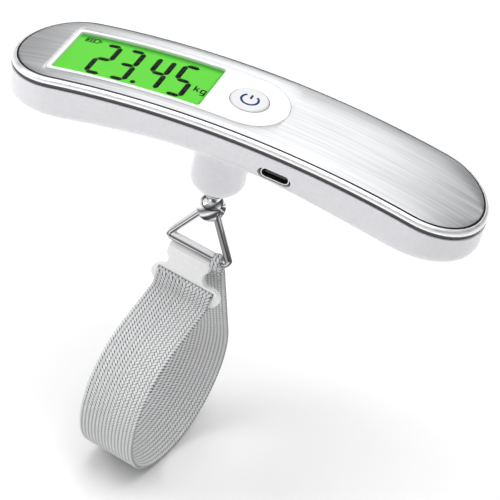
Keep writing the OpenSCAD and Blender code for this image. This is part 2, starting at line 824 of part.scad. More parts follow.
// Direction across the webbing at point i of a path, long enough to keep its thickness in a bend
function across(path, i) =
    let (before = path[max(i, 1)] - path[max(i, 1) - 1])
    let (last = len(path) - 1)
    let (after = path[min(i, last - 1) + 1] - path[min(i, last - 1)])
    let (mean = before / norm(before) + after / norm(after))
    let (along = mean / norm(mean))
    [-along[1], along[0]] / (along * before / norm(before));

// The webbing seen from its side, along a path
module ribbon(path) {
    last = len(path) - 1;
    polygon(concat(
        [for (i = [0 : last]) path[i] + strap_t / 2 * across(path, i)],
        [for (i = [last : -1 : 0]) path[i] - strap_t / 2 * across(path, i)]));
}

// The loop's round part, from the back run round the bottom to the front run
function web_round(steps = 60) =
    let (from = atan2(back_touch[1] - loop_mid[1], back_touch[0] - loop_mid[0]))
    let (to = 360 + atan2(front_touch[1] - loop_mid[1], front_touch[0] - loop_mid[0]))
    [for (i = [0 : steps])
        let (a = from + (to - from) * i / steps)
        loop_mid + loop_r * [cos(a), sin(a)]];

module strap() {
    behind_f = clip_back - wrap_gap - strap_t / 2;
    slot_mid = (slot_top + slot_low) / 2;
    tab_r = wire_d / 2 + tab_gap;
    color([0.78, 0.79, 0.8]) {
        along_bar(strap_mid, strap_w) {
            ribbon(concat([back_start], web_round(), [front_start, [front_f, slot_mid + strap_t / 2]]));
            ribbon([[front_f, slot_mid], [behind_f, slot_mid], [behind_f, low_join], [front_f, low_join]]);
        }
        along_bar(tab_mid, tab_w) {
            difference() {
                circle(r = tab_r + strap_t, $fn = 48);
                circle(r = tab_r, $fn = 48);
            }
            ribbon([[back_f, -tab_r - strap_t / 2], [back_f, -back_top - tab_sewn]]);
        }
    }
}

top_plate();
plate_tape();
trim_ring();
upper_frame();
display_panel();
display_window();
lcd_glass();
lcd_backlight();
zebra_strips();
main_board();
controller_chip();
tact_switch();
switch_plunger();
power_button();
lower_shell();
frame_screws();
battery();
battery_pad();
usb_board();
usb_shell();
usb_tongue();
load_cell();
strain_gauges();
load_cell_screws();
thrust_washer();
hub_bush();
swivel_eye();
retaining_nut();
bail();
clip();
strap();
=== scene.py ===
# %% [markdown]
# # A digital luggage scale
# The design is finished elsewhere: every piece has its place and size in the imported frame. Here
# each piece gets the look of the real one. Some pieces only need a good material. Others, such as
# the moulded shell and the webbing, are modelled again with smooth forms inside the same space.

# %% Load the frame
import math

import bmesh
import bpy
from mathutils import Matrix, Vector


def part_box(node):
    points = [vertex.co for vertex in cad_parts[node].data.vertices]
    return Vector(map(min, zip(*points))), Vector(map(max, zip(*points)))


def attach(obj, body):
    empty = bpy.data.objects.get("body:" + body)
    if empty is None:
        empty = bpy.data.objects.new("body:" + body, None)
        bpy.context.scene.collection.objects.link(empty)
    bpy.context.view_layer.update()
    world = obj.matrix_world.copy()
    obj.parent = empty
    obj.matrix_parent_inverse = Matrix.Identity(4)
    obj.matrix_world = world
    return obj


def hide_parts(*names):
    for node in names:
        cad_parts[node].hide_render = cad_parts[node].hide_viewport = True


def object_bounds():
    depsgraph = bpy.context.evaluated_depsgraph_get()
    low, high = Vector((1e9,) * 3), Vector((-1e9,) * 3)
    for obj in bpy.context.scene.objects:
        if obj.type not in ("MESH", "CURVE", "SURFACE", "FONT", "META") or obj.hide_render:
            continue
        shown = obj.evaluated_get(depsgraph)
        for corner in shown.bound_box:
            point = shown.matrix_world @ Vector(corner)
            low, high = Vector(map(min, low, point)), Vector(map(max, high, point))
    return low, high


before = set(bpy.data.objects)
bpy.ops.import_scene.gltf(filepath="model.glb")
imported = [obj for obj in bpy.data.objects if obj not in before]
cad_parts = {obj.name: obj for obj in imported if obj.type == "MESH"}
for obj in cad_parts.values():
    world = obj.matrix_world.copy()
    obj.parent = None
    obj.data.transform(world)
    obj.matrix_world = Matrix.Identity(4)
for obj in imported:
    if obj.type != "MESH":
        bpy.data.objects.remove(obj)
cad_low, cad_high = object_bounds()
MM = 0.001


def added(name, data):
    """A new object in the scene."""
    made = bpy.data.objects.new(name, data)
    bpy.context.scene.collection.objects.link(made)
    return made


# %% [markdown]
# The camera comes first, because it decides how fine each detail has to be. A long lens from a
# little more than half a metre gives the calm perspective of a catalogue picture. The camera is
# rolled, so that the arched handle runs downhill from left to right.

# %% Camera
TURN, HEIGHT, ROLL = math.radians(13.41), math.radians(38.65), math.radians(-13)
DISTANCE, LENS = 577 * MM, 143.3
AIM = Vector((20.3, -23.5, -32.9)) * MM

around = Matrix.Rotation(TURN, 3, "Z")
level = around @ Vector((1, 0, 0))
upright = around @ Vector((0, math.sin(HEIGHT), math.cos(HEIGHT)))
ahead = around @ Vector((0, math.cos(HEIGHT), -math.sin(HEIGHT)))
right = level * math.cos(ROLL) - upright * math.sin(ROLL)
up = level * math.sin(ROLL) + upright * math.cos(ROLL)

camera = added("camera", bpy.data.cameras.new("camera"))
camera.data.lens, camera.data.sensor_width = LENS, 36
camera.data.clip_start, camera.data.clip_end = 0.05, 20
placed = Matrix((right, up, -ahead)).transposed().to_4x4()
placed.translation = AIM - ahead * DISTANCE
camera.matrix_world = placed
bpy.context.scene.camera = camera
bpy.context.scene.view_settings.view_transform = "Standard"
print("camera at", [round(v / MM) for v in placed.translation], "mm")

# %% [markdown]
# Every finish is a small tree of nodes, and so is the sky. A few helpers keep the trees short: one
# adds a node, sets its values and plugs its inputs, and another makes a material with its shader.

# %% Helpers for nodes


def adder(tree, prefix="ShaderNode"):
    """A function that adds a node to the tree, sets its values and plugs its inputs."""

    def add(kind, plugs=None, **settings):
        node = tree.nodes.new(prefix + kind)
        for key, value in settings.items():
            setattr(node, key, value)
        for socket, source in (plugs or {}).items():
            if hasattr(source, "is_output"):
                tree.links.new(source, node.inputs[socket])
            else:
                node.inputs[socket].default_value = source
        return node

    return add


def material(name, colour, rough, metal=0.0, **more):
    """A material, its shader and its adder of nodes. more sets other sockets by name."""
    made = bpy.data.materials.new(name)
    made.use_nodes = True
    shader = made.node_tree.nodes["Principled BSDF"]
    shader.inputs["Base Color"].default_value = (*colour, 1)
    shader.inputs["Roughness"].default_value = rough
    shader.inputs["Metallic"].default_value = metal
    for socket, value in more.items():
        shader.inputs[socket.replace("_", " ")].default_value = value
    return made, shader, adder(made.node_tree)


def link(made, source, target):
    made.node_tree.links.new(source, target)


def ramp(add, source, *stops):
    """A colour ramp with stops of (position, colour)."""
    node = add("ValToRGB", {0: source})
    elements = node.color_ramp.elements
    while len(elements) < len(stops):
        elements.new(0.5)
    for element, (position, colour) in zip(elements, stops):
        element.position, element.color = position, (*colour, 1)
    return node.outputs[0]


def object_place(add, scale=(1, 1, 1)):
    """Object coordinates in millimetres, stretched by scale."""
    place = add("TexCoord").outputs["Object"]
    return add("Mapping", {"Vector": place, "Scale": tuple(1 / MM * s for s in scale)}).outputs[0]


def noise(add, scale, detail=2.0):
    """Soft noise that stays on the piece. scale is in waves per millimetre along each axis."""
    return add("TexNoise", {"Vector": object_place(add, scale), "Scale": 1.0, "Detail": detail}).outputs[0]


def vary_gloss(made, shader, add, source, low, high, first=0.0, last=1.0):
    """Roughness goes from low to high as the source goes from first to last."""
    span = {"Value": source, "From Min": first, "From Max": last, "To Min": low, "To Max": high}
    link(made, add("MapRange", span).outputs[0], shader.inputs["Roughness"])


def bump(made, shader, add, height, distance, strength):
    """Small relief: height goes from 0 to 1, distance is in millimetres."""
    node = add("Bump", {"Height": height, "Distance": distance * MM, "Strength": strength})
    link(made, node.outputs[0], shader.inputs["Normal"])


# %% [markdown]
# A catalogue picture is lit by big soft boxes. One behind is mirrored in the middle of the arched
# plate, so the plate is light there and darker at both ends. One overhead and one at the left light
# the rest, and the pale floor throws light up under the shell. Chrome needs something dark to
# mirror as well, so there is a black band between the pale horizon and the grey higher up.

# %% Floor, lights and surroundings
FLOOR_Z, FLOOR_SIZE = cad_low.z, 6
LIT_SPOT = Vector((0, 0, -60)) * MM
SKY = ((0.0, 0.9), (0.12, 0.85), (0.2, 0.02), (0.28, 0.02), (0.38, 0.3), (0.72, 0.38), (0.92, 1.0))


def area_light(name, place, size, power):
    """A square soft box at a place in metres that shines at the middle of the object."""
    data = bpy.data.lights.new(name, "AREA")
    data.shape, data.size, data.energy = "SQUARE", size, power
    light = added(name, data)
    light.location = place
    light.rotation_euler = (LIT_SPOT - Vector(place)).to_track_quat("-Z", "Y").to_euler()


def surroundings():
    """Sky for reflections: greys from the horizon up, by the height of the direction."""
    world = bpy.data.worlds.new("studio")
    bpy.context.scene.world = world
    world.use_nodes = True
    add = adder(world.node_tree)
    height = add("SeparateXYZ", {0: add("TexCoord").outputs["Generated"]}).outputs["Z"]
    colour = ramp(add, height, *((spot, (grey, grey, grey)) for spot, grey in SKY))
    link(world, colour, world.node_tree.nodes["Background"].inputs["Color"])


area_light("box_behind", (-0.22, 0.95, 0.78), 0.9, 3.0)
area_light("box_top", (0.0, -0.1, 1.25), 0.9, 9)
area_light("box_left", (-0.95, -0.3, 0.7), 0.7, 5)
surroundings()
bpy.ops.mesh.primitive_plane_add(size=FLOOR_SIZE, location=(0, 0, FLOOR_Z))
floor = bpy.context.object
floor.name = "floor"
floor.data.materials.append(material("floor_white", (0.93, 0.93, 0.93), 0.9, Specular_IOR_Level=0.1)[0])
print("floor at", round(FLOOR_Z / MM, 1), "mm")

# %% [markdown]
# The steel plate is brushed along the handle. The grooves are far finer than a picture shows one
# by one, so a noise stretched along X does three jobs: it changes the colour a little, it changes
# the roughness, and as relief it spreads each reflection across the grooves, as real brushing does.
# Chrome mirrors dark gaps between the soft boxes. These reflections are painted into its colour as
# bands, and which band a face takes depends on how far it turns towards the box at the left.

# %% Metals
BOX_SIDE = (-0.6, 0.0, 0.8)
PALE, GREY, DARK = (0.9, 0.91, 0.92), (0.4, 0.4, 0.41), (0.07, 0.07, 0.075)
# Painted reflections: pale and dark bands in the chrome's colour, picked by how a face turns towards
# BOX_SIDE.
REFLECTION_BANDS = ((0.0, DARK), (0.16, PALE), (0.25, PALE), (0.33, DARK), (0.45, DARK), (0.52, PALE), (0.6, GREY),
         (0.68, DARK), (0.8, PALE), (0.94, PALE), (1.0, DARK))


def brushed_steel():
    made, shader, add = material("brushed_steel", (0.6, 0.61, 0.62), 0.34, 1.0)
    fine, broad = noise(add, (0.05, 3.4, 0.01), 4.0), noise(add, (0.03, 0.9, 0.01), 3.0)
    both = add("Math", {0: fine, 1: broad}, operation="ADD").outputs[0]
    half = add("Math", {0: both, 1: 0.5}, operation="MULTIPLY").outputs[0]
    colour = ramp(add, half, (0.3, (0.50, 0.51, 0.52)), (0.5, (0.66, 0.67, 0.68)), (0.7, (0.8, 0.81, 0.82)))
    link(made, colour, shader.inputs["Base Color"])
    vary_gloss(made, shader, add, half, 0.28, 0.42, 0.3, 0.7)
    bump(made, shader, add, fine, 0.02, 0.6)
    return made


def polished(name, colour, rough, bands=()):
    """Plated metal: nearly a mirror, with faint wear in its gloss, and painted reflection bands in its colour
    if it has any.
    """
    made, shader, add = material(name, colour, rough, 1.0)
    if bands:
        normal = add("TexCoord").outputs["Normal"]
        facing = add("VectorMath", {0: normal, 1: BOX_SIDE}, operation="DOT_PRODUCT").outputs["Value"]
        turn = add("MapRange", {"Value": facing, "From Min": -1.0, "From Max": 1.0})
        link(made, ramp(add, turn.outputs[0], *bands), shader.inputs["Base Color"])
    wear = noise(add, (0.4, 0.4, 0.4), 6.0)
    vary_gloss(made, shader, add, wear, rough * 0.5, rough * 1.6)
    bump(made, shader, add, wear, 0.01, 0.25)
    return made


STEEL = brushed_steel()
TRIM = polished("polished_trim", (0.96, 0.96, 0.97), 0.42)
# Near-black metal for the trim's lower band and inner wall: painted shade and a painted dark reflection.
TRIM_SHADE = polished("trim_shadow_band", (0.09, 0.09, 0.095), 0.35)
CHROME = polished("chrome", (0.74, 0.75, 0.76), 0.05, REFLECTION_BANDS)
ZINC = polished("zinc_steel", (0.7, 0.7, 0.69), 0.3)
ALLOY = polished("alloy", (0.78, 0.79, 0.8), 0.35)
FOIL = polished("pouch_foil", (0.72, 0.74, 0.77), 0.35)

# %% [markdown]
# Moulded plastic is never one flat colour. The mould leaves a faint texture, the gloss differs a
# little from place to place, and a thin clear sheen lies over the colour.

# %% Plastics, rubber, boards and films


def plastic(name, colour, rough, grain=0.8, sheen=0.25, relief=0.01, shine=0.5):
    """grain is in waves per millimetre, relief in millimetres, sheen is a clear coat over shine."""
    made, shader, add = material(name, colour, rough, Coat_Weight=sheen, Coat_Roughness=0.08,
                                 Specular_IOR_Level=shine)
    mould = noise(add, (grain, grain, grain), 4.0)
    low = tuple(c * 0.97 for c in colour)
    high = tuple(min(1.0, c * 1.02) for c in colour)
    link(made, ramp(add, mould, (0.3, low), (0.7, high)), shader.inputs["Base Color"])
    vary_gloss(made, shader, add, mould, rough * 0.85, rough * 1.2)
    bump(made, shader, add, mould, relief, 0.3)
    return made


WHITE = plastic("white_gloss", (0.8, 0.8, 0.83), 0.2)
PANEL = plastic("panel_white", (0.84, 0.84, 0.85), 0.35)
# The button's white is a darker copy of the panel's white: painted shade.
SHADED_CAP = plastic("button_white", (0.66, 0.66, 0.68), 0.3)
CLIP = plastic("clip_white", (0.92, 0.92, 0.92), 0.38)
BLACK = plastic("black_plastic", (0.02, 0.02, 0.022), 0.35)
ORANGE = plastic("orange_plastic", (0.75, 0.2, 0.05), 0.4)
RUBBER = plastic("rubber", (0.7, 0.35, 0.4), 0.7, grain=2.0, sheen=0.0)
FOAM = plastic("foam", (0.05, 0.05, 0.055), 0.95, grain=3.0, sheen=0.0, relief=0.1)
TAPE = plastic("tape", (0.03, 0.03, 0.03), 0.7, grain=1.5, sheen=0.0)
FILM = plastic("gauge_film", (0.7, 0.38, 0.1), 0.35, grain=1.0)
BOARD = plastic("board_green", (0.03, 0.22, 0.09), 0.35, grain=1.2)
GUIDE = plastic("light_guide", (0.65, 0.9, 0.5), 0.3)
INK = plastic("display_ink", (0.004, 0.01, 0.004), 0.6, grain=1.0, sheen=0.0, shine=0.05)
NAVY = plastic("symbol_blue", (0.01, 0.045, 0.16), 0.5, grain=1.0, sheen=0.0, shine=0.1)

# %% [markdown]
# The display glows. Its light is even in the middle and is darkened by painted shade towards the
# far long edge and the right-hand end, standing in for the shade of the window's frame. That painted
# shade is worked out from the place on the glass, so it stays where it is when the object turns.

# %% The display's green and the clear window
window_low, window_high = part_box("display_window")
FAR_FADE, END_FADE = (2.6, 0.6), (2.2, 0.5)


def faded(add, place, edge, fade):
    """Goes from 0 to 1 between two distances before an edge, in millimetres."""
    span = {"Value": place, "From Min": edge / MM - fade[0], "From Max": edge / MM - fade[1]}
    return add("MapRange", span).outputs[0]


def lit_display():
    made, shader, add = material("lcd_green", (0.008, 0.05, 0.004), 0.6, Specular_IOR_Level=0.05)
    place = add("SeparateXYZ", {0: object_place(add)}).outputs
    # Painted shade: the glow darkens near the far long edge and the right-hand end.
    far, end = faded(add, place[1], window_high.y, FAR_FADE), faded(add, place[0], window_high.x, END_FADE)
    shade = add("Math", {0: far, 1: end}, operation="MAXIMUM").outputs[0]
    soft = add("Math", {0: noise(add, (0.1, 0.1, 0.1)), 1: 0.12}, operation="MULTIPLY").outputs[0]
    total = add("Math", {0: shade, 1: soft}, operation="ADD").outputs[0]
    glow = ramp(add, total, (0.0, (0.17, 0.82, 0.07)), (0.25, (0.13, 0.72, 0.055)),
                (1.0, (0.05, 0.36, 0.025)))
    link(made, glow, shader.inputs["Emission Color"])
    shader.inputs["Emission Strength"].default_value = 0.95
    return made


def clear_window():
    """Thin clear plastic: mostly see-through, with its own gloss."""
    made, shader, add = material("clear_window", (0.02, 0.03, 0.02), 0.06, Alpha=0.05)
    vary_gloss(made, shader, add, noise(add, (0.5, 0.5, 0.5)), 0.04, 0.09)
    return made


LCD, CLEAR = lit_display(), clear_window()

# %% [markdown]
# Pieces inside the handle keep the shapes of the design. Each gets its material in its slot.

# %% Materials on the pieces that keep their design shape
KEEP = {
    "plate_tape": TAPE, "upper_frame": WHITE, "display_window": CLEAR, "lcd_glass": LCD,
    "lcd_backlight": GUIDE, "zebra_strips": RUBBER, "main_board": BOARD, "controller_chip": BLACK,
    "tact_switch": BLACK, "switch_plunger": ORANGE, "battery": FOIL, "battery_pad": FOAM,
    "usb_board": BOARD, "usb_shell": ZINC, "usb_tongue": BLACK, "load_cell": ALLOY,
    "strain_gauges": FILM, "load_cell_screws": ZINC, "thrust_washer": ALLOY, "hub_bush": ALLOY,
    "retaining_nut": ZINC,
}
for node, finish in KEEP.items():
    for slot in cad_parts[node].material_slots:
        slot.material = finish
print(len(KEEP), "design pieces have their finish")

# %% [markdown]
# The pieces that are modelled again share a few helpers. Points are given in millimetres. A piece
# gets its mesh, its material, the body that it moves with and the design piece that it replaces.
# Edges sharper than a set angle stay crisp, and all others are shaded smooth.

# %% Helpers for meshes
MERGE, NO_AREA = 0.002, 0.001


def build(name, points, faces, finish, crisp=35):
    """A mesh object from points in millimetres, merged, with its faces outward."""
    mesh = bpy.data.meshes.new(name)
    mesh.from_pydata([Vector(p) * MM for p in points], [], faces)
    mesh.materials.append(finish)
    piece = added(name, mesh)
    tidy(piece, crisp)
    return piece


def tidy(piece, crisp=35):
    """Merges doubles, drops faces without area, turns faces outward and shades by angle."""
    work = bmesh.new()
    work.from_mesh(piece.data)
    bmesh.ops.remove_doubles(work, verts=work.verts, dist=MERGE * MM)
    bmesh.ops.dissolve_degenerate(work, edges=work.edges, dist=NO_AREA * MM)
    bmesh.ops.recalc_face_normals(work, faces=work.faces)
    work.to_mesh(piece.data)
    work.free()
    piece.data.shade_smooth()
    piece.data.set_sharp_from_angle(angle=math.radians(crisp))


def settle(piece):
    """Makes what the piece's modifiers give its plain mesh."""
    whole = piece.evaluated_get(bpy.context.evaluated_depsgraph_get())
    result = bpy.data.meshes.new_from_object(whole)
    piece.modifiers.clear()
    piece.data = result


def modify(piece, kind, **settings):
    """Adds one modifier and settles it."""
    tool = piece.modifiers.new(kind.lower(), kind)
    for key, value in settings.items():
        setattr(tool, key, value)
    settle(piece)


def place(piece, body, slot, *nodes):
    """Says what the piece rides on and which design pieces it replaces; slot, the finish it takes, is not
    used.
    """
    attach(piece, body)
    if nodes:
        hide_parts(*nodes)
    print(piece.name, len(piece.data.polygons), "faces, on", body)


def turns(count):
    """Angles that divide a full turn evenly."""
    return [2 * math.pi * i / count for i in range(count)]


def grid(rows, columns, wrap_rows=False, wrap_columns=False):
    """Faces of a net of points that was listed row by row."""
    faces = []
    for r in range(rows if wrap_rows else rows - 1):
        for c in range(columns if wrap_columns else columns - 1):
            r2, c2 = (r + 1) % rows, (c + 1) % columns
            faces.append((r * columns + c, r * columns + c2, r2 * columns + c2, r2 * columns + c))
    return faces


# %% [markdown]
# The top of the handle is layered: plate, panel, window and trim all follow one arch. A layer is
# made as strips across the handle. At each station along X a function gives half the width of the
# layer's outline there, and half the width of any hole, so round ends and corners come out exact.

# %% The arch, and layers on it
ARCH_R, SHIFT = 309.0, 5.7
SPANS, ROWS, HOLE_ROWS, LEAD = 70, 7, (2, 3), 0.8
trim_low, trim_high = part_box("trim_ring")
HANDLE = (trim_low.x / MM, trim_high.x / MM, trim_high.y / MM)
BUTTON_X, BUTTON_R = 4.6, 5.8


def arch(x, depth=0.0):
    """Height of the arch at x, depth below the plate's face."""
    return math.sqrt((ARCH_R - depth) ** 2 - (x - SHIFT) ** 2) - ARCH_R


def half_width(x, shape):
    """Half the width at x of a rounded outline (left, right, half, left radius, right radius)."""
    left, right, half, near, far = shape
    corner = 0.0
    if x < left + near:
        corner = near - math.sqrt(max(0.0, near ** 2 - (left + near - x) ** 2))
    elif x > right - far:
        corner = far - math.sqrt(max(0.0, far ** 2 - (x - right + far) ** 2))
    return half - corner


def stations(shape, steps=10):
    """Places along X where an outline bends."""
    left, right, _, near, far = shape
    turn = [math.cos(math.pi / 2 * i / steps) for i in range(steps + 1)]
    return [left + near * (1 - t) for t in turn] + [right - far * (1 - t) for t in turn]


def layer(name, outline, holes, depth, thick, finish, edge):
    """A layer on the arch. Where a hole is, the two middle strips of faces are left out."""
    left, right = outline[0], outline[1]
    places = stations(outline) + [left + (right - left) * i / SPANS for i in range(SPANS + 1)]
    for hole in holes:
        places += stations(hole)
    places = sorted(set(round(p, 4) for p in places))

    def inner(x):
        """Half the width of the hole at x, or of the strip that leads to the next hole."""
        before = [h for h in holes if h[1] < x]
        after = [h for h in holes if h[0] > x]
        for hole in holes:
            if hole[0] <= x <= hole[1]:
                return half_width(x, hole)
        start = half_width(before[-1][1], before[-1]) if before else None
        end = half_width(after[0][0], after[0]) if after else None
        limit = half_width(x, outline) * LEAD
        if start is None or end is None:
            return min(limit, (end if start is None else start) or 0.0)
        t = (x - before[-1][1]) / (after[0][0] - before[-1][1])
        return min(limit, start + (end - start) * t)

    points, faces = [], []
    for x in places:
        wide, slot = half_width(x, outline), inner(x) if holes else 0.0
        for y in (-wide, -(wide + slot) / 2, -slot, 0.0, slot, (wide + slot) / 2, wide):
            points.append((x, y, arch(x, depth)))
    for i in range(len(places) - 1):
        middle = (places[i] + places[i + 1]) / 2
        open_here = any(h[0] < middle < h[1] for h in holes)
        for row in range(ROWS - 1):
            if not (open_here and row in HOLE_ROWS):
                a = i * ROWS + row
                faces.append((a, a + ROWS, a + ROWS + 1, a + 1))
    piece = build(name, points, faces, finish)
    modify(piece, "SOLIDIFY", thickness=thick * MM, offset=-1.0)
    modify(piece, "BEVEL", width=edge * MM, segments=2, limit_method="ANGLE", angle_limit=math.radians(50))
    tidy(piece)
    return piece


# %% [markdown]
# The plate is pressed steel with a softly broken edge, so a fine bright line runs round it. The
# gap to the trim and to the panel shows as a dark line.

# %% Top plate
RIM, CORNER, COVERED = 1.2, 1.5, 0.6
WINDOW = (window_low.x / MM + COVERED, window_high.x / MM - COVERED, window_high.y / MM - COVERED, 1.0, 1.0)
PANEL_HALF = WINDOW[2] + RIM
PANEL_SHAPE = (WINDOW[0] - RIM, BUTTON_X + PANEL_HALF, PANEL_HALF, CORNER, PANEL_HALF)


def grown(shape, by):
    """The same outline, larger all round by so many millimetres."""
    left, right, half, near, far = shape
    return (left - by, right + by, half + by, near + by, far + by)


GAP, PANEL_GAP, TRIM_WALL = 0.4, 0.12, 1.5
inside = grown((*HANDLE, HANDLE[2], HANDLE[2]), -TRIM_WALL - GAP)
plate_hole = grown(PANEL_SHAPE, PANEL_GAP)
plate = layer("steel_plate", inside, [plate_hole], depth=0.0, thick=0.75, finish=STEEL, edge=0.1)
place(plate, "handle", "brushed_steel", "top_plate")

# %% [markdown]
# The panel frames the display in white and runs on round the button. Its window opening has small
# rounded corners, and the button's opening is a close circle.

# %% Display panel
BUTTON_GAP = 0.25
hole_r = BUTTON_R + BUTTON_GAP
button_hole = (BUTTON_X - BUTTON_R - BUTTON_GAP, BUTTON_X + BUTTON_R + BUTTON_GAP, hole_r, hole_r, hole_r)
panel_holes = [WINDOW, button_hole]
panel = layer("white_panel", PANEL_SHAPE, panel_holes, depth=-0.02, thick=1.0, finish=PANEL, edge=0.18)
place(panel, "handle", "panel_white", "display_panel")

# %% [markdown]
# The trim is one band that runs round the handle. Its section is a rounded polished lip above and
# a recessed band below, swept along the outline. The lower band and the wall towards the plate are
# near-black metal: painted shade and a painted dark reflection. A sweep is a net of points: one ring
# of stations round the handle for each point of the section.
# sweep is a net of points: one ring of stations round the handle for each point of the section.

# %% Trim band


def outline_ring(shape, steps=26, spacing=2.0):
    """Points and outward directions round a stadium, evenly spread."""
    left, right, half = shape[:3]
    ring = []
    runs = max(2, round((right - left - 2 * half) / spacing))
    for side in (1, -1):
        middle = right - half if side > 0 else left + half
        for i in range(steps):
            a = math.pi * i / steps - math.pi / 2
            ring.append((middle + side * half * math.cos(a), side * half * math.sin(a),
                         side * math.cos(a), side * math.sin(a)))
        for i in range(runs):
            x = middle + (left + half - right + half) * side * i / runs
            ring.append((x, side * half, 0.0, float(side)))
    return ring


TRIM_SECTION = [
    (1.5, 0.6), (1.5, 0.3), (1.42, 0.16), (1.25, 0.08), (1.05, 0.08), (0.84, 0.13), (0.63, 0.23),
    (0.44, 0.38), (0.28, 0.56), (0.16, 0.78), (0.08, 1.02), (0.04, 1.26), (0.04, 1.5), (0.08, 1.66),
    (0.2, 1.74), (0.36, 1.76), (0.4, 1.85), (0.4, 2.9), (0.42, 3.0), (0.55, 3.08), (1.5, 3.08),
]
LOW_FROM, SHADE_INSET = 14, 1.3


def trim_band():
    """The band, with its lower part and its inner wall in near-black metal as painted shade and painted dark
    reflection.
    """
    ring = outline_ring(HANDLE)
    points = []
    for x, y, out_x, out_y in ring:
        for inset, depth in TRIM_SECTION:
            px, py = x - inset * out_x, y - inset * out_y
            points.append((px, py, arch(px, depth)))
    piece = build("trim_band", points, grid(len(ring), len(TRIM_SECTION), True, True), TRIM, crisp=60)
    piece.data.materials.append(TRIM_SHADE)
    left, right, half = HANDLE
    for face in piece.data.polygons:
        centre = face.center / MM
        past_end = max(0.0, left + half - centre.x, centre.x - right + half)
        inset = half - math.hypot(past_end, centre.y)
        # Faces deep in the gap or on the lower band take the painted shade.
        if inset > SHADE_INSET or centre.z < arch(centre.x, TRIM_SECTION[LOW_FROM][1] - 0.02):
            face.material_index = 1
    return piece


place(trim_band(), "handle", "polished_trim", "trim_ring")

# %% [markdown]
# The white shell is one smooth moulding: a boat-shaped bowl whose underside flows into the hub. It
# is a net of rays round the hub's axis. Each ray runs from the hub's foot up its wall, through a
# hollow fillet, along the underside and up the side to the trim, then back along the inside. The
# rounded section is a superellipse, squarer towards the ends of the handle than across it.

# %% Lower shell
hub_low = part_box("hub_bush")[0]
TRIM_H, SHELL_DEPTH, SHELL_WALL = 3.1, 12.0, 1.8
HUB_R, HUB_END, HUB_DOME, HUB_FILLET = 8.5, hub_low.z / MM, 6.0, 7.0
BUSH_R, BUSH_TOP, BORE_R = 3.56, -28.5, HUB_R - 2.2
POWER_MIDDLE, POWER_MORE, BLEND_REACH = 3.4, 3.2, 50
CROWDING, FILLET_PULL, FILLET_UP, DOME_FLAT = 1.4, 0.6, 0.55, 0.98


def bowl_ray(x, y, depth, power, inner_r, steps):
    """Points (r, z) from the rim at (x, y) down and in to inner_r, on one ray."""
    reach = math.hypot(x, y)
    last = math.acos(min(1.0, inner_r / reach) ** (power / 2))
    points = []
    for i in range(steps + 1):
        a = last * (i / steps) ** CROWDING
        q = math.cos(a) ** (2 / power)
        points.append((q * reach, arch(q * x, TRIM_H + depth * math.sin(a) ** (2 / power))))
    return points


def fillet_curve(start, toward, end, up_reach, steps=10):
    """A smooth curve from the underside into the hub's wall."""
    run = math.hypot(toward[0], toward[1])
    pull = FILLET_PULL * (start[0] - end[0])
    first = (start[0] + toward[0] / run * pull, start[1] + toward[1] / run * pull)
    second = (end[0], end[1] + up_reach)
    points = []
    for i in range(1, steps + 1):
        t = i / steps
        weights = ((1 - t) ** 3, 3 * t * (1 - t) ** 2, 3 * t * t * (1 - t), t ** 3)
        corners = (start, first, second, end)
        points.append(tuple(sum(w * p[k] for w, p in zip(weights, corners)) for k in (0, 1)))
    return points


def shell_section(x, y, out_x, out_y, steps=10):
    """One closed section of the shell: a list of (x, y, z)."""
    reach = math.hypot(x, y)
    blend = min(1.0, max(0.0, (reach - HANDLE[2]) / BLEND_REACH))
    power = POWER_MIDDLE + POWER_MORE * blend * blend * (3 - 2 * blend)
    outer = bowl_ray(x, y, SHELL_DEPTH, power, HUB_R + HUB_FILLET, 18)
    before, start = outer[-2], outer[-1]
    wall_top = (HUB_R, start[1] - HUB_FILLET)
    toward = (start[0] - before[0], start[1] - before[1])
    outer += fillet_curve(start, toward, wall_top, FILLET_UP * HUB_FILLET)
    foot = HUB_END + HUB_DOME
    outer += [(HUB_R, wall_top[1] + (foot - wall_top[1]) * t) for t in (0.5, 1.0)]
    last = math.acos(BUSH_R / HUB_R)
    for i in range(1, steps + 1):
        a = last * i / steps
        outer.append((HUB_R * math.cos(a), foot - HUB_DOME * DOME_FLAT * math.sin(a)))
    points = [(r * x / reach, r * y / reach, z) for r, z in outer]
    inner_x, inner_y = x - SHELL_WALL * out_x, y - SHELL_WALL * out_y
    inner_reach = math.hypot(inner_x, inner_y)
    inner = bowl_ray(inner_x, inner_y, SHELL_DEPTH - SHELL_WALL, power, BORE_R, steps)
    back = [(BUSH_R, BUSH_TOP), (BORE_R, BUSH_TOP)] + inner[::-1]
    points += [(r * inner_x / inner_reach, r * inner_y / inner_reach, z) for r, z in back]
    return points


def slot_cutter(length, height, near, far, x, depth, steps=16):
    """A bar with a slot-shaped section that runs along Y at a place on the arch."""
    tilt = math.asin((x - SHIFT) / ARCH_R)
    centre_x = SHIFT + (ARCH_R - depth) * math.sin(tilt)
    centre_z = (ARCH_R - depth) * math.cos(tilt) - ARCH_R
    ring = []
    for side in (1, -1):
        for i in range(steps + 1):
            a = math.pi * i / steps - math.pi / 2
            across = side * ((length - height) / 2 + height / 2 * math.cos(a))
            ring.append((across, side * height / 2 * math.sin(a)))
    points = []
    for y in (near, far):
        for across, high in ring:
            points.append((centre_x + across * math.cos(tilt) + high * math.sin(tilt), y,
                           centre_z - across * math.sin(tilt) + high * math.cos(tilt)))
    count = len(ring)
    faces = grid(2, count, wrap_columns=True) + [tuple(range(count))[::-1], tuple(range(count, 2 * count))]
    return build("cutter", points, faces, BLACK)


def cut(piece, cutter, crisp=35):
    """Takes the cutter's shape out of the piece."""
    modify(piece, "BOOLEAN", object=cutter, operation="DIFFERENCE", solver="EXACT")
    bpy.data.objects.remove(cutter)
    tidy(piece, crisp)


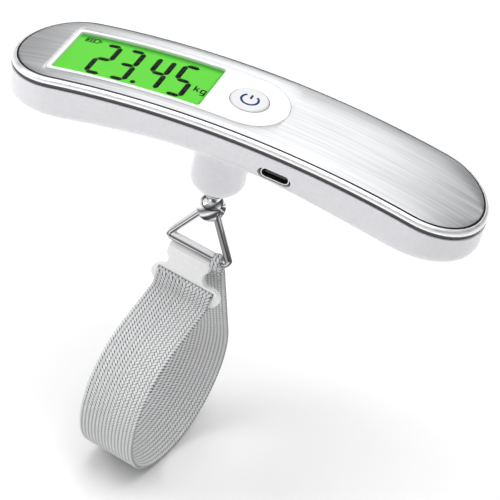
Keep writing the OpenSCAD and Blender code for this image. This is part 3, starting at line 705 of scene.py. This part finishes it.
PORT_X, PORT_DEPTH, PORT_LEN, PORT_H, PORT_FROM, PORT_TO = 21.5, 9.0, 10.4, 4.2, -21.0, -13.0
sections = [shell_section(*spot) for spot in outline_ring(HANDLE)]
shell_points = [point for section in sections for point in section]
shell = build("white_shell", shell_points, grid(len(sections), len(sections[0]), True, True), WHITE)
cut(shell, slot_cutter(PORT_LEN, PORT_H, PORT_FROM, PORT_TO, PORT_X, PORT_DEPTH))
place(shell, "handle", "white_gloss", "lower_shell")

# %% [markdown]
# The button is turned: a shallow dish with a rounded edge. A turned shape is a half section spun
# round an axis, which is again a net of points. The power symbol is a separate thin piece.

# %% Button and its symbol


def turned(name, section, finish, sides, centre=(0.0, 0.0)):
    """A half section of (radius, height), spun round a vertical axis."""
    points = []
    for a in turns(sides):
        points += [(centre[0] + r * math.cos(a), centre[1] + r * math.sin(a), z) for r, z in section]
    return build(name, points, grid(sides, len(section), True, False), finish)


BUTTON_TOP, EDGE_W, EDGE_H, FLANGE = 0.42, 0.75, 0.6, 0.7
DISH = ((0, 0.16), (1.5, 0.15), (3.2, 0.1), (4.6, 0.02))
button_section = [(r, BUTTON_TOP - dip) for r, dip in DISH]
for turn in (math.radians(a) for a in range(0, 91, 15)):
    button_section.append((BUTTON_R - EDGE_W + EDGE_W * math.sin(turn),
                           BUTTON_TOP - EDGE_H + EDGE_H * math.cos(turn)))
button_section += [(BUTTON_R, -1.15), (BUTTON_R + FLANGE, -1.2), (BUTTON_R + FLANGE, -1.6), (0, -1.6)]
button = turned("button_cap", button_section, SHADED_CAP, centre=(BUTTON_X, 0.0), sides=96)
place(button, "button", "panel_white", "power_button")


def marks(name, shapes, spot, finish, thick=0.04):
    """Thin flat marks: each shape is a list of (u, v) corners, and spot(u, v) gives its place."""
    points, faces = [], []
    for shape in shapes:
        faces.append(tuple(range(len(points), len(points) + len(shape))))
        points += [spot(u, v) for u, v in shape]
    piece = build(name, points, faces, finish)
    if piece.data.polygons[0].normal.z < 0:
        piece.data.flip_normals()
    modify(piece, "SOLIDIFY", thickness=thick * MM, offset=1.0)
    return piece


def bar_shape(start, end, width):
    """The four corners of a straight stroke."""
    run = (Vector(end) - Vector(start)).normalized() * width / 2
    side = Vector((-run.y, run.x))
    return [tuple(Vector(p) + s * side) for p, s in ((start, -1), (end, -1), (end, 1), (start, 1))]


def arc_shapes(radius, width, first, last, steps=28):
    """An arc as short four-cornered pieces."""
    shapes = []
    for i in range(steps):
        a, b = (math.radians(first + (last - first) * (i + k) / steps) for k in (0, 1))
        near, far = radius - width / 2, radius + width / 2
        corners = ((near, a), (far, a), (far, b), (near, b))
        shapes.append([(r * math.cos(t), r * math.sin(t)) for r, t in corners])
    return shapes


SYMBOL_R, STROKE, SYMBOL_SINK = 2.6, 0.7, 0.12
power_sign = arc_shapes(SYMBOL_R, STROKE, 128, 412) + [bar_shape((0, 0.5), (0, 3.2), STROKE)]
symbol = marks("power_symbol", power_sign, lambda u, v: (BUTTON_X + u, v, BUTTON_TOP - SYMBOL_SINK), NAVY)
place(symbol, "button", "black_plastic")

# %% [markdown]
# The segments lie on a thin film under the window. Every digit is made of the same seven strokes
# with pointed ends, and a digit is the list of strokes that are dark.

# %% Film, digits and signs under the window
FILM_DEPTH, INK_LIFT = 1.25, 0.02
film = layer("display_film", grown(WINDOW, 0.35), [], FILM_DEPTH, thick=0.1, finish=LCD, edge=0.02)
place(film, "handle", "lcd_green")
DIGIT_W, DIGIT_H, SEGMENT = 6.0, 17.8, 1.65
READING_AT = (0.0, 0.6)
SEGMENTS = {"2": "abged", "3": "abgcd", "4": "fgbc", "5": "afgcd"}
DIGIT_PLACES = (("2", -11.4), ("3", -3.8), ("4", 6.0), ("5", 14.0))
K_SIGN = [((0, 0), (0, 2.3)), ((0, 0.7), (1.0, 1.6)), ((0.35, 1.0), (1.1, 0))]
G_SIGN = [((0, 0), (0, 1.4)), ((0, 1.4), (1.1, 1.4)), ((1.1, 1.5), (1.1, -0.9)), ((0, 0), (1.1, 0)),
          ((0.1, -0.9), (1.1, -0.9))]
BATTERY_SIGN = [((0, 0), (4.2, 0)), ((0, 2), (4.2, 2)), ((0, 0), (0, 2)), ((4.2, 0), (4.2, 2))]


def segment(name):
    """A stroke of the seven-part digit, as a pointed bar round the digit's middle."""
    w, h, t, gap = DIGIT_W / 2 - SEGMENT / 2, DIGIT_H / 2 - SEGMENT / 2, SEGMENT / 2, 0.12
    ends = {"a": ((-w, h), (w, h)), "g": ((-w, 0), (w, 0)), "d": ((-w, -h), (w, -h)),
            "f": ((-w, 0), (-w, h)), "b": ((w, 0), (w, h)), "e": ((-w, -h), (-w, 0)),
            "c": ((w, -h), (w, 0))}
    start, end = (Vector(p) for p in ends[name])
    run = (end - start).normalized()
    side = Vector((-run.y, run.x)) * t
    first, last = start + run * gap, end - run * gap
    return [tuple(p) for p in (first, first + run * t - side, last - run * t - side, last,
                               last - run * t + side, first + run * t + side)]


def letter(strokes, at, width=0.5, size=1.2):
    """Small signs as joined strokes."""
    moved = [[(at[0] + size * u, at[1] + size * v) for u, v in stroke] for stroke in strokes]
    return [bar_shape(a, b, width) for a, b in moved]


def shifted(shapes, at):
    """The same shapes, moved by at."""
    return [[(u + at[0], v + at[1]) for u, v in shape] for shape in shapes]


reading = []
for digit, middle in DIGIT_PLACES:
    reading += shifted([segment(s) for s in SEGMENTS[digit]], (middle, -0.4))
reading += shifted(arc_shapes(0.42, 0.84, 0, 360, 12), (1.3, -8.1))
reading += letter(K_SIGN, (18.6, -3.6)) + letter(G_SIGN, (20.7, -3.6))
reading += letter(BATTERY_SIGN, (-20.9, 7.4), 0.36, 1.0) + [bar_shape((-16.3, 8.4), (-15.8, 8.4), 0.9)]
reading += [bar_shape((-20.3 + 1.0 * i, 7.8), (-20.3 + 1.0 * i, 9.0), 0.62) for i in range(3)]
WINDOW_MID = (WINDOW[0] + WINDOW[1]) / 2


def on_film(u, v):
    """The place on the arched film of a point that is given from the window's middle."""
    x = WINDOW_MID + u + READING_AT[0]
    return (x, v + READING_AT[1], arch(x, FILM_DEPTH - INK_LIFT))


digits = marks("reading", reading, on_film, INK, 0.02)
place(digits, "handle", "black_plastic")

# %% [markdown]
# Below the hub everything turns with the swivel, and the bail and the loop also lean forward a
# little, as they do when the loop's foot rests on a table. Two helpers place points there. The
# ball is turned, and its cross hole is cut with a flared bar, so that the wire can swing in it.

# %% Swivel eye
SWIVEL, LEAN = math.radians(-10), math.radians(-12)
WIRE, BALL_R, BALL_Z, WIRE_Z, BAR_Z = 2.4, 4.5, -42.3, -42.65, -58.15


def swivelled(points):
    """Turns points about the load axis by the swivel's angle at rest."""
    c, s = math.cos(SWIVEL), math.sin(SWIVEL)
    return [(x * c - y * s, x * s + y * c, z) for x, y, z in points]


def leaned(points):
    """Leans points forward about the wire in the eye's hole, then turns them with the swivel."""
    c, s = math.cos(LEAN), math.sin(LEAN)
    return swivelled([(x, y * c - (z - WIRE_Z) * s, WIRE_Z + y * s + (z - WIRE_Z) * c) for x, y, z in points])


def swivel_eye(steps=40, sides=64):
    """The stem, the collar and the ball in one turned piece, with the flared hole cut across it."""
    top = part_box("swivel_eye")[1].z / MM
    stem, collar, high, low, edge, neck = 2.0, 3.0, -36.0, -37.1, 0.2, 2.3
    section = [(0, top), (stem, top), (stem, high), (collar - edge, high), (collar, high - edge),
               (collar, low + edge), (collar - edge, low), (neck, low)]
    start = math.asin(neck / BALL_R)
    for i in range(steps + 1):
        a = start + (math.pi - start) * i / steps
        section.append((BALL_R * math.sin(a), BALL_Z + BALL_R * math.cos(a)))
    ball = turned("ball_eye", section, CHROME, sides=96)
    hole = WIRE / 2 + 0.4
    flare = ((0.0, 0.0), (0.0, 1.4), (0.12, 2.0), (0.5, 2.8), (1.3, 3.7), (2.8, 4.8))
    half = [(hole + wider, x) for wider, x in flare]
    bore = [(r, -x) for r, x in half[:0:-1]] + half
    points = []
    for a in turns(sides):
        points += swivelled([(x, r * math.cos(a), BALL_Z + r * math.sin(a)) for r, x in bore])
    count = len(bore)
    caps = [tuple(i * count for i in range(sides)), tuple(i * count + count - 1 for i in range(sides))[::-1]]
    cut(ball, build("cutter", points, grid(sides, count, True, False) + caps, BLACK), 50)
    return ball


place(swivel_eye(), "swivel", "chrome", "swivel_eye")

# %% [markdown]
# The bail is one chrome wire, bent into a flat-topped triangle. Its path is worked out from the
# straight sides and the bend radii, and a round section is swept along it.

# %% Bail
BAIL_W, BAIL_H, APEX_HALF, APEX_BEND, CORNER_BEND = 25.2, 15.5, 3.2, 2.4, 1.7
WIRE_SIDES = 28


def rounded_path(corners, radii, steps=10):
    """A closed path through corners, each rounded by its own radius."""
    path, count = [], len(corners)
    for i in range(count):
        before, here, after = (Vector(corners[(i + k) % count]) for k in (-1, 0, 1))
        inward, outward = (here - before).normalized(), (after - here).normalized()
        turn = inward.angle(outward)
        trim = radii[i] * math.tan(turn / 2)
        start, end = here - inward * trim, here + outward * trim
        centre = here + (outward - inward).normalized() * radii[i] / math.cos(turn / 2)
        for k in range(steps + 1):
            arm = (start - centre).lerp(end - centre, k / steps)
            blend = (start - centre).slerp(end - centre, k / steps) if turn > 0.01 else arm
            path.append(centre + blend)
    return path


def sweep(path, radius):
    """Points of a round wire along a closed flat path of (across, height)."""
    points, count = [], len(path)
    for i in range(count):
        along = (path[(i + 1) % count] - path[i - 1]).normalized()
        side = Vector((-along.y, along.x))
        for a in turns(WIRE_SIDES):
            spot = path[i] + side * radius * math.cos(a)
            points.append((spot.x, radius * math.sin(a), spot.y))
    return points


def bail_corner():
    """Half the width between the lower sharp corners, found by repeating one step."""
    guess = BAIL_W / 2
    for _ in range(30):
        turn = math.pi - math.atan2(BAIL_H, guess - APEX_HALF)
        guess = BAIL_W / 2 - WIRE / 2 - CORNER_BEND + CORNER_BEND * math.tan(turn / 2)
    return guess


low_x = bail_corner()
corners = [(-APEX_HALF, WIRE_Z), (APEX_HALF, WIRE_Z), (low_x, BAR_Z), (-low_x, BAR_Z)]
wire_path = rounded_path(corners, [APEX_BEND, APEX_BEND, CORNER_BEND, CORNER_BEND])
wire_faces = grid(len(wire_path), WIRE_SIDES, True, True)
bail = build("wire_bail", leaned(sweep(wire_path, WIRE / 2)), wire_faces, CHROME, crisp=60)
place(bail, "bail_ring", "chrome", "bail")

# %% [markdown]
# The clip is an injection moulding with a thin flat plate, so its look is in its softened edges.
# A copy of the design piece is merged and its flat faces are joined, then a bevel rounds them.

# %% Clip


def softened(node, name, finish, edge):
    """A copy of a design piece with rounded edges."""
    piece = added(name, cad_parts[node].data.copy())
    piece.data.materials.clear()
    piece.data.materials.append(finish)
    work = bmesh.new()
    work.from_mesh(piece.data)
    bmesh.ops.remove_doubles(work, verts=work.verts, dist=0.003 * MM)
    bmesh.ops.dissolve_limit(work, angle_limit=math.radians(1), verts=work.verts, edges=work.edges)
    work.to_mesh(piece.data)
    work.free()
    modify(piece, "BEVEL", width=edge * MM, segments=3, limit_method="ANGLE", angle_limit=math.radians(40))
    tidy(piece, 40)
    return piece


clip = softened("clip", "white_clip", CLIP, edge=0.4)
place(clip, "loop", "clip_white", "clip")

# %% [markdown]
# The webbing is a closed loop. It comes through the clip's slot, runs down the front, round the
# bottom and up the back, where a sewn tab holds it to the bail's bar. Its path is a line seen from
# the side, and the band is swept along it. Real webbing has a row of ribs along its length, so the
# ribs are in the mesh, and the finer crossing of the yarns is in the material.

# %% Webbing: path and band
STRAP_W, STRAP_T, STRAP_MID = 20.0, 1.5, -0.6
RIB, ROW, EDGE_STEPS = 1.25, 1.1, 5


def hung(s, f, h):
    """A point by its place along the bail's bar, ahead of it and above it."""
    return leaned([(s, -f, BAR_Z + h)])[0]


def resampled(path, spacing):
    """The same line with points at an even spacing."""
    line = [Vector(p) for p in path]
    total = sum((b - a).length for a, b in zip(line, line[1:]))
    count = round(total / spacing)
    result, i, walked = [line[0]], 0, 0.0
    for k in range(1, count):
        target = total * k / count
        while walked + (line[i + 1] - line[i]).length < target:
            walked += (line[i + 1] - line[i]).length
            i += 1
        result.append(line[i].lerp(line[i + 1], (target - walked) / (line[i + 1] - line[i]).length))
    return result + [line[-1]], total


def smooth_line(path, rounds):
    """Rounds the corners of a line by averaging neighbours."""
    for _ in range(rounds):
        path = [path[0]] + [(a + b * 2 + c) / 4 for a, b, c in zip(path, path[1:], path[2:])] + [path[-1]]
    return path


def loop_round(centre, radius, first, last, steps=40):
    """Points on an arc between two angles in degrees."""
    angles = [math.radians(first + (last - first) * i / steps) for i in range(steps + 1)]
    return [(centre[0] + radius * math.cos(a), centre[1] + radius * math.sin(a)) for a in angles]


SLOT_H, BASE_LOW, FRONT_F, BEHIND_F, BACK_F, BACK_TOP = -11.3, -15.6, 1.57, -2.17, -2.6, -3.4
LOOP_R, LOOP_MID, FOLD_END, PAST_TOP, CLEAR_OF_BASE = 27.0, (0.3, -48.0), 0.4, 0.6, 0.12
LOW_JOIN = BASE_LOW - CLEAR_OF_BASE - STRAP_T / 2


def tangent_angle(point, sign):
    """Angle at which a straight run from a point touches the loop's round part."""
    arm = Vector(point) - Vector(LOOP_MID)
    return math.degrees(math.atan2(arm.y, arm.x) + sign * math.acos(LOOP_R / arm.length))


front_angle = tangent_angle((FRONT_F, LOW_JOIN), -1)
back_angle = tangent_angle((BACK_F, BACK_TOP), 1)
main_path = [(BACK_F, BACK_TOP + PAST_TOP)] + loop_round(LOOP_MID, LOOP_R, back_angle, 360 + front_angle)
main_path += [(FRONT_F, LOW_JOIN), (FRONT_F, SLOT_H), (BEHIND_F, SLOT_H), (BEHIND_F, LOW_JOIN),
              (FOLD_END, LOW_JOIN)]
print("round part from", round(back_angle), "to", round(360 + front_angle), "degrees")


def rounded(point):
    """A place in hundredths of a millimetre, by which a point is found again."""
    return tuple(round(v * 1e5) for v in point)


def band(name, path, width, middle, spacing, finish, across=80, rib=0.05, rounds=2):
    """Webbing along a side-view path, with ribs, round edges and a UV map in millimetres."""
    line, total = resampled(path, spacing)
    line = smooth_line(line, rounds)
    half, thick = width / 2, STRAP_T / 2
    profile = []
    for side in (1, -1):
        for i in range(across + 1):
            s = side * (half - thick) * (1 - 2 * i / across)
            profile.append((s, side * (thick - rib + rib * abs(math.sin(math.pi * s / RIB)))))
        for k in range(1, EDGE_STEPS):
            a = math.pi * k / EDGE_STEPS
            profile.append((-side * (half - thick + thick * math.sin(a)), side * thick * math.cos(a)))
    points, walked, lengths = [], 0.0, []
    for i, p in enumerate(line):
        along = (line[min(i + 1, len(line) - 1)] - line[max(i - 1, 0)]).normalized()
        normal = Vector((-along.y, along.x))
        walked += (p - line[i - 1]).length if i else 0.0
        lengths.append(walked)
        for s, t in profile:
            q = p - normal * t
            points.append(hung(middle + s, q.x, q.y))
    count = len(profile)
    faces = grid(len(line), count, False, True)
    faces += [tuple(range(count)), tuple(range((len(line) - 1) * count, len(line) * count))[::-1]]
    piece = build(name, points, faces, finish, crisp=60)
    layer_uv = piece.data.uv_layers.new(name="yarn")
    flat = {}
    for i, point in enumerate(points):
        flat[rounded(Vector(point) * MM)] = (profile[i % count][0], lengths[i // count])
    for corner in piece.data.loops:
        place_of = rounded(piece.data.vertices[corner.vertex_index].co)
        layer_uv.data[corner.index].uv = flat.get(place_of, (0.0, 0.0))
    return piece, total


def webbing():
    """Knitted columns: stitches lean left and right in turn, with a hollow beside each that is painted dark
    as shade.
    """
    made, shader, add = material("webbing", (0.7, 0.71, 0.72), 0.85, Sheen_Weight=0.25, Sheen_Roughness=0.5)
    flat = add("UVMap", uv_map="yarn").outputs[0]
    across, along = add("SeparateXYZ", {0: flat}).outputs[:2]

    def maths(operation, *values):
        return add("Math", dict(enumerate(values)), operation=operation).outputs[0]

    def spread(wide, long, detail):
        """Noise on the flat webbing, in waves per millimetre across it and along it."""
        place = add("Mapping", {"Vector": flat, "Scale": (wide, long, 1)}).outputs[0]
        return add("TexNoise", {"Vector": place, "Scale": 1.0, "Detail": detail}).outputs[0]

    column = maths("DIVIDE", across, RIB)
    inside = maths("FRACT", column)
    ridge = maths("SINE", maths("MULTIPLY", inside, math.pi))
    parity = maths("MODULO", maths("FLOOR", column), 2.0)
    lean = maths("MULTIPLY", maths("SUBTRACT", inside, 0.5), maths("MULTIPLY_ADD", parity, -1.6, 0.8))
    row = maths("ADD", maths("ADD", maths("DIVIDE", along, ROW), maths("MULTIPLY", parity, 0.5)), lean)
    wave = maths("MULTIPLY_ADD", maths("SINE", maths("MULTIPLY", row, 2 * math.pi)), 0.5, 0.5)
    low = maths("SUBTRACT", 1.0, wave)
    groove = maths("POWER", maths("SUBTRACT", 1.0, ridge), 1.6)
    speck, fibre = spread(0.9, 0.9, 1.0), spread(4, 2, 5.0)
    pit = maths("MULTIPLY", groove, maths("MULTIPLY_ADD", low, 0.95, maths("MULTIPLY", speck, 0.1)))
    # Painted shade in the low rows of the hollows, made uneven by speckled noise.
    hollow_shade_specks = maths("MULTIPLY", maths("POWER", low, 3.0), maths("MULTIPLY", speck, 0.7))
    knots = maths("SUBTRACT", maths("SUBTRACT", 0.9, pit), hollow_shade_specks)
    height = maths("MULTIPLY_ADD", fibre, 0.35, knots)
    # The colour follows the height: hollows and grooves are painted dark as shade, the tops are light.
    colour = ramp(add, height, (0.25, (0.05, 0.052, 0.055)), (0.62, (0.34, 0.345, 0.35)),
                  (1.0, (0.76, 0.765, 0.77)))
    link(made, colour, shader.inputs["Base Color"])
    bump(made, shader, add, height, 0.35, 0.8)
    return made


WEBBING = webbing()
THREAD = plastic("thread", (0.62, 0.63, 0.64), 0.8, grain=6.0, sheen=0.0, relief=0.05, shine=0.2)
strap, strap_length = band("webbing_loop", main_path, STRAP_W, STRAP_MID, spacing=0.5, finish=WEBBING)
place(strap, "loop", "webbing", "strap")

# %% [markdown]
# A narrow tab is folded over the bar beside the clip and sewn to the back of the loop.

# %% Tab round the bar
TAB_W, TAB_MID = 3.2, 7.4
TAB_GAP = 0.1
TAB_R = WIRE / 2 + TAB_GAP + STRAP_T / 2
tab_path = loop_round((0.0, 0.0), TAB_R, -60, 180) + [(BACK_F + 0.1, -1.6), (BACK_F - 0.1, -5.0)]
tab, tab_length = band("webbing_tab", tab_path, TAB_W, TAB_MID, spacing=0.35, finish=WEBBING,
                       across=14, rib=0.08, rounds=1)
place(tab, "loop", "webbing")

# %% [markdown]
# Stitches and screws are copies of one small piece, so they are made with Geometry Nodes. One tree
# does both. It can cut a line into even steps first, it turns each copy to the directions that are
# stored on the line, it makes the copies a little uneven, and it ends as one plain mesh.

# %% Copies along a line


def copies_tree():
    """The tree, with its six inputs by name."""
    tree = bpy.data.node_groups.new("copies", "GeometryNodeTree")
    for label, kind in (("Line", "Geometry"), ("Part", "Object"), ("Step", "Float"), ("Uneven", "Float"),
                        ("Seed", "Int"), ("Finish", "Material")):
        tree.interface.new_socket(label, in_out="INPUT", socket_type="NodeSocket" + kind)
    tree.interface.new_socket("Copies", in_out="OUTPUT", socket_type="NodeSocketGeometry")
    add = adder(tree, "")
    given = tree.nodes.new("NodeGroupInput").outputs
    line = add("GeometryNodeMeshToCurve", {"Mesh": given["Line"]}).outputs[0]
    even = add("GeometryNodeResampleCurve", {"Curve": line, "Length": given["Step"]}, mode="LENGTH")
    turn = None
    for label, axis, pivot in (("along", "X", "AUTO"), ("out", "Z", "X")):
        way = add("GeometryNodeInputNamedAttribute", {"Name": label}, data_type="FLOAT_VECTOR").outputs[0]
        plugs = {"Vector": way} if turn is None else {"Vector": way, "Rotation": turn}
        turn = add("FunctionNodeAlignRotationToVector", plugs, axis=axis, pivot_axis=pivot).outputs[0]
    least = add("ShaderNodeMath", {0: 1.0, 1: given["Uneven"]}, operation="SUBTRACT").outputs[0]
    most = add("ShaderNodeMath", {0: 1.0, 1: given["Uneven"]}, operation="ADD").outputs[0]
    size = add("FunctionNodeRandomValue", {2: least, 3: most, "Seed": given["Seed"]}, data_type="FLOAT")
    part = add("GeometryNodeObjectInfo", {"Object": given["Part"]}).outputs["Geometry"]
    spread = add("GeometryNodeInstanceOnPoints", {"Points": even.outputs[0], "Instance": part,
                                                  "Rotation": turn, "Scale": size.outputs[1]}).outputs[0]
    whole = add("GeometryNodeRealizeInstances", {"Geometry": spread}).outputs[0]
    finished = add("GeometryNodeSetMaterial", {"Geometry": whole, "Material": given["Finish"]}).outputs[0]
    add("NodeGroupOutput", {"Copies": finished})
    return tree


COPIES = copies_tree()


def copied(name, lines, part, step, uneven, finish):
    """Copies of part along lines, each of them points in mm, a direction along and one outward."""
    mesh = bpy.data.meshes.new(name + "_line")
    places, edges, along, out = [], [], [], []
    for spots, along_way, out_way in lines:
        edges += [(len(places) + i, len(places) + i + 1) for i in range(len(spots) - 1)]
        places += [Vector(spot) * MM for spot in spots]
        along += [along_way] * len(spots)
        out += [out_way] * len(spots)
    mesh.from_pydata(places, edges, [])
    for label, ways in (("along", along), ("out", out)):
        values = mesh.attributes.new(label, "FLOAT_VECTOR", "POINT").data
        for value, way in zip(values, ways):
            value.vector = way
    piece = added(name, mesh)
    tool = piece.modifiers.new("copies", "NODES")
    tool.node_group = COPIES
    given = {"Part": part, "Step": step * MM, "Uneven": uneven, "Seed": 7, "Finish": finish}
    for item in COPIES.interface.items_tree:
        if item.in_out == "INPUT" and item.name in given:
            tool[item.identifier] = given[item.name]
    settle(piece)
    bpy.data.objects.remove(part)
    tidy(piece)
    return piece


# %% [markdown]
# A stitch is a short bowed piece of thread whose ends dive into the webbing. Rows of stitches hold
# the tab to the loop's back, on both of its faces.

# %% Stitches
THREAD_R, STITCH, STITCH_STEP, BOW, DIVE = 0.15, 1.15, 1.5, 0.12, 0.34
ROW_HALF, ROW_HEIGHTS = 8.6, (-4.4, -5.9)


def thread(rings=11, sides=10):
    """One stitch along X, with its ends bent down."""
    points = []
    for i in range(rings):
        t = 2 * i / (rings - 1) - 1
        for a in turns(sides):
            height = BOW - DIVE * t ** 4 + THREAD_R * math.sin(a)
            points.append((STITCH / 2 * t, THREAD_R * math.cos(a), height))
    ends = [tuple(range(sides)), tuple(range((rings - 1) * sides, rings * sides))[::-1]]
    return build("thread", points, grid(rings, sides, False, True) + ends, THREAD)


def direction(s, f, h):
    """A direction along the bar, ahead and up, in the shared frame."""
    return (Vector(hung(s, f, h)) - Vector(hung(0, 0, 0))).normalized()


def stitch_row(height, face):
    """A row across the loop's back at a height, on its outer face (-1) or its inner face (1)."""
    ends = (STRAP_MID - ROW_HALF, STRAP_MID + ROW_HALF)
    spots = [hung(s, BACK_F + face * STRAP_T / 2, height) for s in ends]
    return spots, direction(1, 0, 0), direction(0, face, 0)


rows = [stitch_row(height, face) for height in ROW_HEIGHTS for face in (-1, 1)]
stitches = copied("stitches", rows, thread(), step=STITCH_STEP, uneven=0.08, finish=THREAD)
place(stitches, "loop", "webbing")

# %% [markdown]
# Four screws close the handle. Each has a low head with a cross recess, and ridges down its shank.

# %% Screws
HEAD_T, SHANK_R, PITCH = 1.2, 1.05, 0.9


def screw_part(length, head_r, head_t, shank_r):
    """A turned screw. Two crossed bars are cut out of its head."""
    section = [(0, 0), (head_r * 0.6, -0.02), (head_r * 0.9, -0.14), (head_r, -0.4), (head_r, -head_t),
               (shank_r, -head_t)]
    depth = head_t + 0.4
    while depth < length - 1.4:
        section += [(shank_r * 0.74, -depth), (shank_r, -depth - PITCH / 2)]
        depth += PITCH
    section += [(shank_r * 0.7, -length + 0.9), (0, -length)]
    screw = turned("screw", section, ZINC, sides=32)
    for wide, deep in ((0.34, 1.1), (1.1, 0.34)):
        around_bar = ((-1, -1), (1, -1), (1, 1), (-1, 1))
        corners = [(x * wide, y * deep, z) for z in (-0.7, 0.5) for x, y in around_bar]
        sides = [(i, (i + 1) % 4, 4 + (i + 1) % 4, 4 + i) for i in range(4)]
        cut(screw, build("cutter", corners, [(3, 2, 1, 0), (4, 5, 6, 7)] + sides, ZINC))
    return screw


def screw_places():
    """Each screw's top, axis, length and head radius, read from the design piece."""
    spots = [v.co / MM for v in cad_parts["frame_screws"].data.vertices]
    lines = []
    for side_x in (-1, 1):
        for side_y in (-1, 1):
            mine = [p for p in spots if (p.x - SHIFT) * side_x > 0 and p.y * side_y > 0]
            middle = sum(mine, Vector()) / len(mine)
            tilt = math.asin((middle.x - SHIFT) / ARCH_R)
            axis = Vector((math.sin(tilt), 0, math.cos(tilt)))
            heights = [(p - middle).dot(axis) for p in mine]
            head = [p for p, h in zip(mine, heights) if h > max(heights) - 0.4]
            centre = (sum(head, Vector()) / len(head) - middle)
            flat = centre - axis * centre.dot(axis)
            top = middle + flat + axis * max(heights)
            radius = max((p - top - axis * (p - top).dot(axis)).length for p in head)
            lines.append((top, axis, max(heights) - min(heights), radius))
    return lines


screw_spots = screw_places()
LENGTH, HEAD_R = screw_spots[0][2:]
SHORT = Vector((0, 0.05, 0))
lines = [([top - SHORT, top + SHORT], axis.cross(Vector((0, 1, 0))), axis) for top, axis, _, _ in screw_spots]
screw = screw_part(LENGTH, HEAD_R, HEAD_T, SHANK_R)
screws = copied("screws", lines, screw, step=1.0, uneven=0.0, finish=ZINC)
place(screws, "handle", "zinc_steel", "frame_screws")

# %% [markdown]
# The webbing is a sheet of cloth, so its flat size is printed.

# %% The sheet
print("webbing", round(strap_length), "mm long, tab", round(tab_length), "mm")
